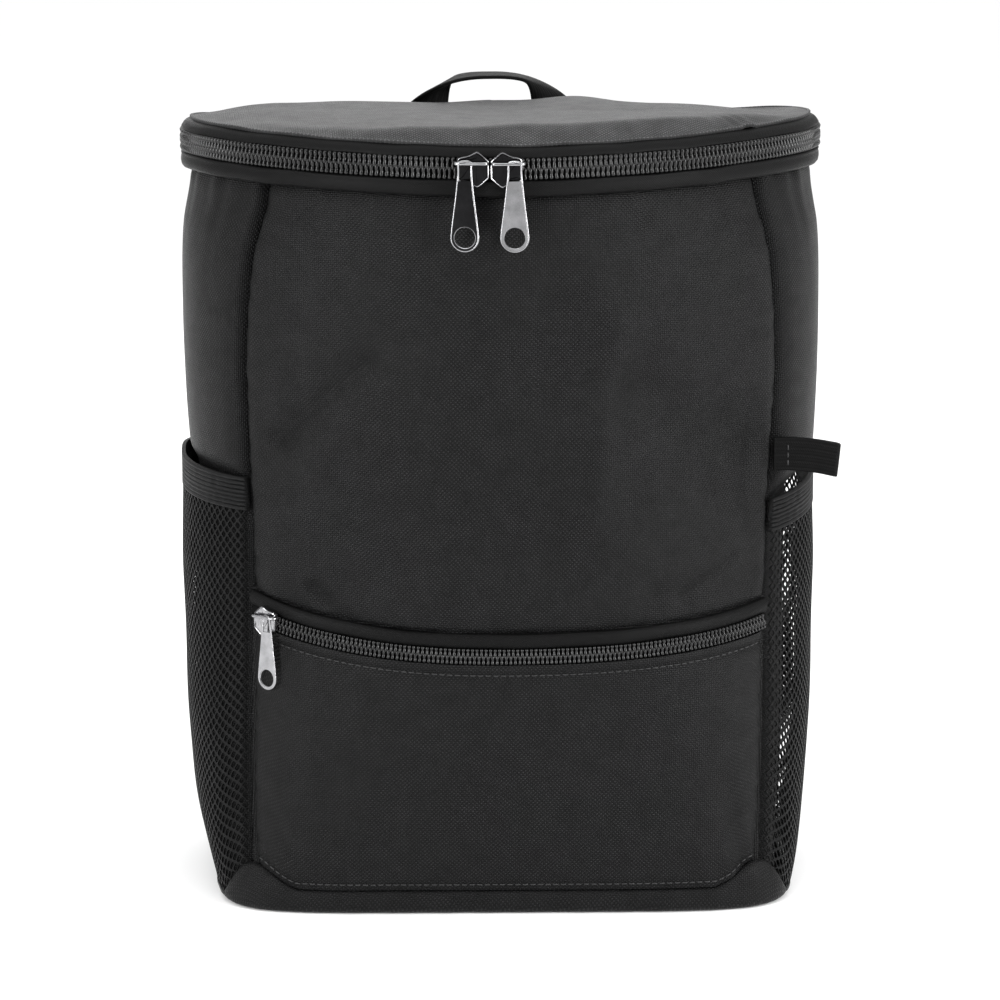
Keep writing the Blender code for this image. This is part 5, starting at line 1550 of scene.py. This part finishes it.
def slider_set(name, node, pull_node, body, around, height_of, points_of, crown_side, scale, yaw, finishes):
    """A slider on a zip with its crown bar, and the pull that hangs on the bar."""
    seat = small_frame(height_of, points_of, around)
    length = SLIDER_LENGTH * scale
    reach = EYE_WIDTH * scale / 2 + GAP + CROWN_RADIUS
    eye_x = crown_side * (length / 2 - reach + CROWN_RADIUS)
    plate, crown = slider_body(seat, crown_side, scale, eye_x)
    piece = bar(name, plate, finishes[0], sharp=40)
    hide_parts(node)
    # Crown bar and plate edge in the light copy of the metal: painted highlights
    bridge = bar(name + "_bridge", crown, LIT_METAL, sharp=40)
    outline = plate[3]
    trim = rod_loops(outline, 0.00022, 6, up=tuple(seat[2]), closed=True).reshape(-1, 3)
    edge = make_piece(name + "_edge", trim, [ring_faces(len(outline), 6)], LIT_METAL, trim[:, ::2], "bag", 40)
    pull(name + "_tab", pull_node, body, seat, eye_x, scale, yaw, crown_side, finishes[1])


def sliders():
    """Two sliders nose to nose on the main zip and one on the pocket zip."""
    places = band_points(band_height(np.array((0.0, MAIN_MEETING))), np.array((0.0, MAIN_MEETING)), 0.0)
    per_metre = -MAIN_MEETING / np.linalg.norm(places[1] - places[0])
    half = (SLIDER_LENGTH + SLIDER_NOSES) / 2 * per_metre
    # The left pull's face gets the dark copy of the metal and the right pull's the light copy: painted shade
    # and painted reflection on two like pulls
    slider_set("zip_slider_left", "main_slider_left", "main_pull_left", "left_pull", MAIN_MEETING - half,
               band_height, band_points, -1, 1, math.radians(6), (SHADED_METAL, SHADED_METAL))
    slider_set("zip_slider_right", "main_slider_right", "main_pull_right", "right_pull", MAIN_MEETING + half,
               band_height, band_points, 1, 1, math.radians(6), (SHADED_METAL, LIT_METAL))
    slider_set("small_slider", "pocket_slider", "pocket_pull", "small_pull", POCKET_SLIDER_AT,
               pocket_zip_height, pocket_points, 1, POCKET_SLIDER_SCALE, math.radians(4), (LIT_METAL, LIT_METAL))


def strap_line(sign, share):
    """Middle of a shoulder strap from its top seam (0) to its lower end (1)."""
    x = sign * (STRAP_TOP_X + (STRAP_FOOT_X - STRAP_TOP_X) * share ** 1.4)
    top = ZIP_HEIGHT - STRAP_DROP
    height = top + (STRAP_FOOT - top) * share
    bow = STRAP_BOW * math.sin(math.pi * share * 0.82) ** 0.8
    return x, height, bow


def shoulder_strap(side):
    """Padded strap with bound edges, its tail webbing, the adjuster between them and the sewn anchor."""
    sign = -1 if side == "left" else 1
    shares = np.linspace(0, 1, 15)
    middles = []
    for share in shares:
        x, height, bow = strap_line(sign, share)
        seat = seat_behind(x, STRAP_WIDTH / 2, height, height)
        middles.append((x, seat + STRAP_THICKNESS / 2 + bow, height))
    end = np.array(middles[-1])
    way = end - np.array(middles[-2])
    path, = resample(np.array(middles), 91)
    shares = np.linspace(0, 1, 91)
    ahead = np.gradient(path, axis=0)
    across = normal(np.cross(ahead, (0, 1, 0)))
    out = normal(np.cross(across, ahead))
    taper = 1 - 0.35 * np.clip((shares - 0.75) / 0.25, 0, 1) ** 2
    half = STRAP_WIDTH / 2 * taper
    turn = 2 * math.pi * (np.arange(56) + 0.5) / 56
    wide = np.sign(np.cos(turn)) * np.abs(np.cos(turn)) ** 0.42
    thick = np.sign(np.sin(turn)) * np.abs(np.sin(turn)) ** 0.72
    channels = 1 - 0.13 * np.exp(-((np.abs(wide) - 0.80) / 0.045) ** 2)
    crease = 1 - 0.03 * ripple(shares * 0.2, 0.05, 2.0 + sign)[:, None]
    rise = STRAP_THICKNESS / 2 * thick * channels * crease
    spread = across[:, None] * (half[:, None] * wide)[..., None]
    loops = path[:, None] + spread + out[:, None] * rise[..., None]
    pad = bar("strap_pad_" + side, loops, PACKCLOTH)
    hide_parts("shoulder_strap_" + side)
    edges = [rod_loops(path + across * (half * flip)[:, None], 0.0013, 10, up=(0, 1, 0)) for flip in (1, -1)]
    binding = bars("strap_binding_" + side, edges, STRIPCLOTH)
    strap_tail(side, sign, end, way)


def strap_tail(side, sign, strap_end, way):
    """Adjuster, webbing and anchor below a shoulder strap, in line with the strap's end."""
    half = TAIL_WEBBING / 2 * ANCHOR_WIDER
    low, high = TAIL_FOOT - ANCHOR_HEIGHT / 2, TAIL_FOOT + ANCHOR_HEIGHT / 2
    face = seat_behind(sign * TAIL_FOOT_X, half, low, high)
    anchor_y = face + ANCHOR_THICKNESS / 2
    ends = np.array([(sign * TAIL_FOOT_X, anchor_y, low), (sign * TAIL_FOOT_X, anchor_y, high)])
    path = ends[0] + (ends[1] - ends[0]) * np.linspace(0, 1, 9)[:, None]
    anchor = bar("anchor_" + side, webbing_loops(path, np.tile((half, 0.0, 0.0), (9, 1)), ANCHOR_THICKNESS),
                 WEBBING)
    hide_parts("strap_anchor_" + side)
    foot_y = face + ANCHOR_THICKNESS + GAP + TAIL_THICKNESS
    foot = np.array((sign * TAIL_FOOT_X, foot_y, TAIL_FOOT - ANCHOR_HEIGHT / 4))
    way = normal(way)
    side_way = normal(np.cross(way, (0, 1, 0)))
    top = strap_end + way * GAP
    ladder(side, top, way, side_way)
    start = top + way * (ADJUSTER_HEIGHT + GAP)
    span = np.linalg.norm(foot - start)
    t = np.linspace(0, 1, 61)[:, None]
    pull_in = 3 * t * (1 - t) ** 2 * (start + way * span / 3)
    pull_out = 3 * t ** 2 * (1 - t) * (foot + np.array((0, TAIL_SLACK, 1.0)) * span / 3)
    path = (1 - t) ** 3 * start + pull_in + pull_out + t ** 3 * foot
    across = normal(np.cross(np.gradient(path, axis=0), (0, 1, 0))) * TAIL_WEBBING / 2
    across[0] = side_way * TAIL_WEBBING / 2
    tail = bar("tail_" + side, webbing_loops(path, across, TAIL_THICKNESS), WEBBING)
    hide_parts("strap_webbing_" + side)
    box_stitch("anchor_box_" + side, (sign * TAIL_FOOT_X, foot_y + TAIL_THICKNESS * 0.6, TAIL_FOOT - 0.001),
               (half - 0.005, 0, 0), (0, 0, 0.0045), (0, 1, 0))


def ladder(side, top, way, side_way):
    """Ladder buckle: two rails and three cross bars of rounded section."""
    half = ADJUSTER_WIDTH / 2 - 0.002
    out = normal(np.cross(side_way, way))
    spans = [((x, 0.001), (x, ADJUSTER_HEIGHT - 0.001)) for x in (-half, half)]
    spans += [((-half, at), (half, at)) for at in (0.0018, ADJUSTER_HEIGHT * 0.52, ADJUSTER_HEIGHT - 0.0018)]
    many = []
    for (x0, s0), (x1, s1) in spans:
        t = np.linspace(0, 1, 9)[:, None]
        start = top + side_way * x0 + way * s0
        end = top + side_way * x1 + way * s1
        radius = 0.0017 * np.clip(1.15 - np.abs(2 * t[:, 0] - 1) ** 10 * 0.4, 0.5, 1.0)
        many.append(rod_loops(start + (end - start) * t, radius, 12, up=out, flat=0.85))
    buckle = bars("ladder_buckle_" + side, many, BUCKLE, sharp=60)
    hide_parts("strap_adjuster_" + side)


def studio():
    """Pale floor, soft light from both sides, above and behind, and the camera."""
    material, tree, surface, where = blank("pale floor")
    patch = scatter(tree, where.outputs["Object"], 2.0)
    colour = tint(tree, patch, (0.90, 0.90, 0.90, 1), (0.91, 0.91, 0.91, 1))
    tree.links.new(colour, surface.inputs["Base Color"])
    surface.inputs["Roughness"].default_value = 0.9
    surface.inputs["Specular IOR Level"].default_value = 0.1
    mesh = bpy.data.meshes.new("floor")
    corners = [(x * FLOOR_REACH, y * FLOOR_REACH, FLOOR_Z) for x, y in ((-1, -1), (1, -1), (1, 1), (-1, 1))]
    mesh.from_pydata(corners, [], [(0, 1, 2, 3)])
    mesh.materials.append(material)
    floor = bpy.data.objects.new("floor", mesh)
    bpy.context.scene.collection.objects.link(floor)
    # name, place, width, height and power of each soft light, all aimed at the middle of the bag
    lights = (
        ("left_softbox", (-1.08, -0.92, 0.55), 0.32, 1.1, 19.0),
        ("right_softbox", (1.08, -0.92, 0.55), 0.32, 1.1, 24.0),
        ("top_softbox", (0.0, -0.1, 1.5), 1.2, 0.8, 5.0),
        ("back_softbox", (0.0, 1.5, 0.9), 1.2, 1.0, 5.0),
    )
    aim = Vector((0, 0, 0.18))
    for name, place, width, height, power in lights:
        light = bpy.data.lights.new(name, "AREA")
        light.shape = "RECTANGLE"
        light.size = width
        light.size_y = height
        light.energy = power
        lamp = bpy.data.objects.new(name, light)
        lamp.location = place
        lamp.rotation_euler = (aim - Vector(place)).to_track_quat("-Z", "Y").to_euler()
        bpy.context.scene.collection.objects.link(lamp)
    world = bpy.data.worlds.new("studio")
    world.use_nodes = True
    bpy.context.scene.world = world
    tree = world.node_tree
    background = tree.nodes["Background"]
    way = tree.nodes.new("ShaderNodeTexCoord")
    split = tree.nodes.new("ShaderNodeSeparateXYZ")
    tree.links.new(way.outputs["Generated"], split.inputs[0])
    sideways = sum_of(tree, "POWER", sum_of(tree, "ABSOLUTE", split.outputs["X"]), 1.5)
    upwards = sum_of(tree, "MAXIMUM", split.outputs["Z"], 0.0)
    sideways = sum_of(tree, "MULTIPLY", sideways, 0.5)
    glow = sum_of(tree, "ADD", sideways, sum_of(tree, "MULTIPLY", upwards, 1.35))
    glow = sum_of(tree, "ADD", glow, 0.05)
    ray = tree.nodes.new("ShaderNodeLightPath")
    colour = tint(tree, ray.outputs["Is Camera Ray"], glow, (1.0, 1.0, 1.0, 1))
    tree.links.new(colour, background.inputs["Color"])
    background.inputs["Strength"].default_value = 1.0
    level = math.cos(CAMERA_ELEVATION)
    back = Vector((math.sin(CAMERA_AZIMUTH) * level, -math.cos(CAMERA_AZIMUTH) * level,
                   math.sin(CAMERA_ELEVATION)))
    camera = bpy.data.cameras.new("camera")
    camera.lens = CAMERA_LENS
    camera.sensor_width = 36.0
    view = bpy.data.objects.new("camera", camera)
    view.location = Vector(CAMERA_AIM) + back * CAMERA_DISTANCE
    view.rotation_euler = (-back).to_track_quat("-Z", "Y").to_euler()
    bpy.context.scene.collection.objects.link(view)
    bpy.context.scene.camera = view
    bpy.context.scene.view_settings.view_transform = "Standard"


studio()
front_wall()
side_wall("left")
side_wall("right")
back_wall()
base()
lid()
strips()
main_zip()
pocket_zip()
front_pocket()
side_pockets()
carry_handle()
side_loop()
sliders()
shoulder_strap("left")
shoulder_strap("right")
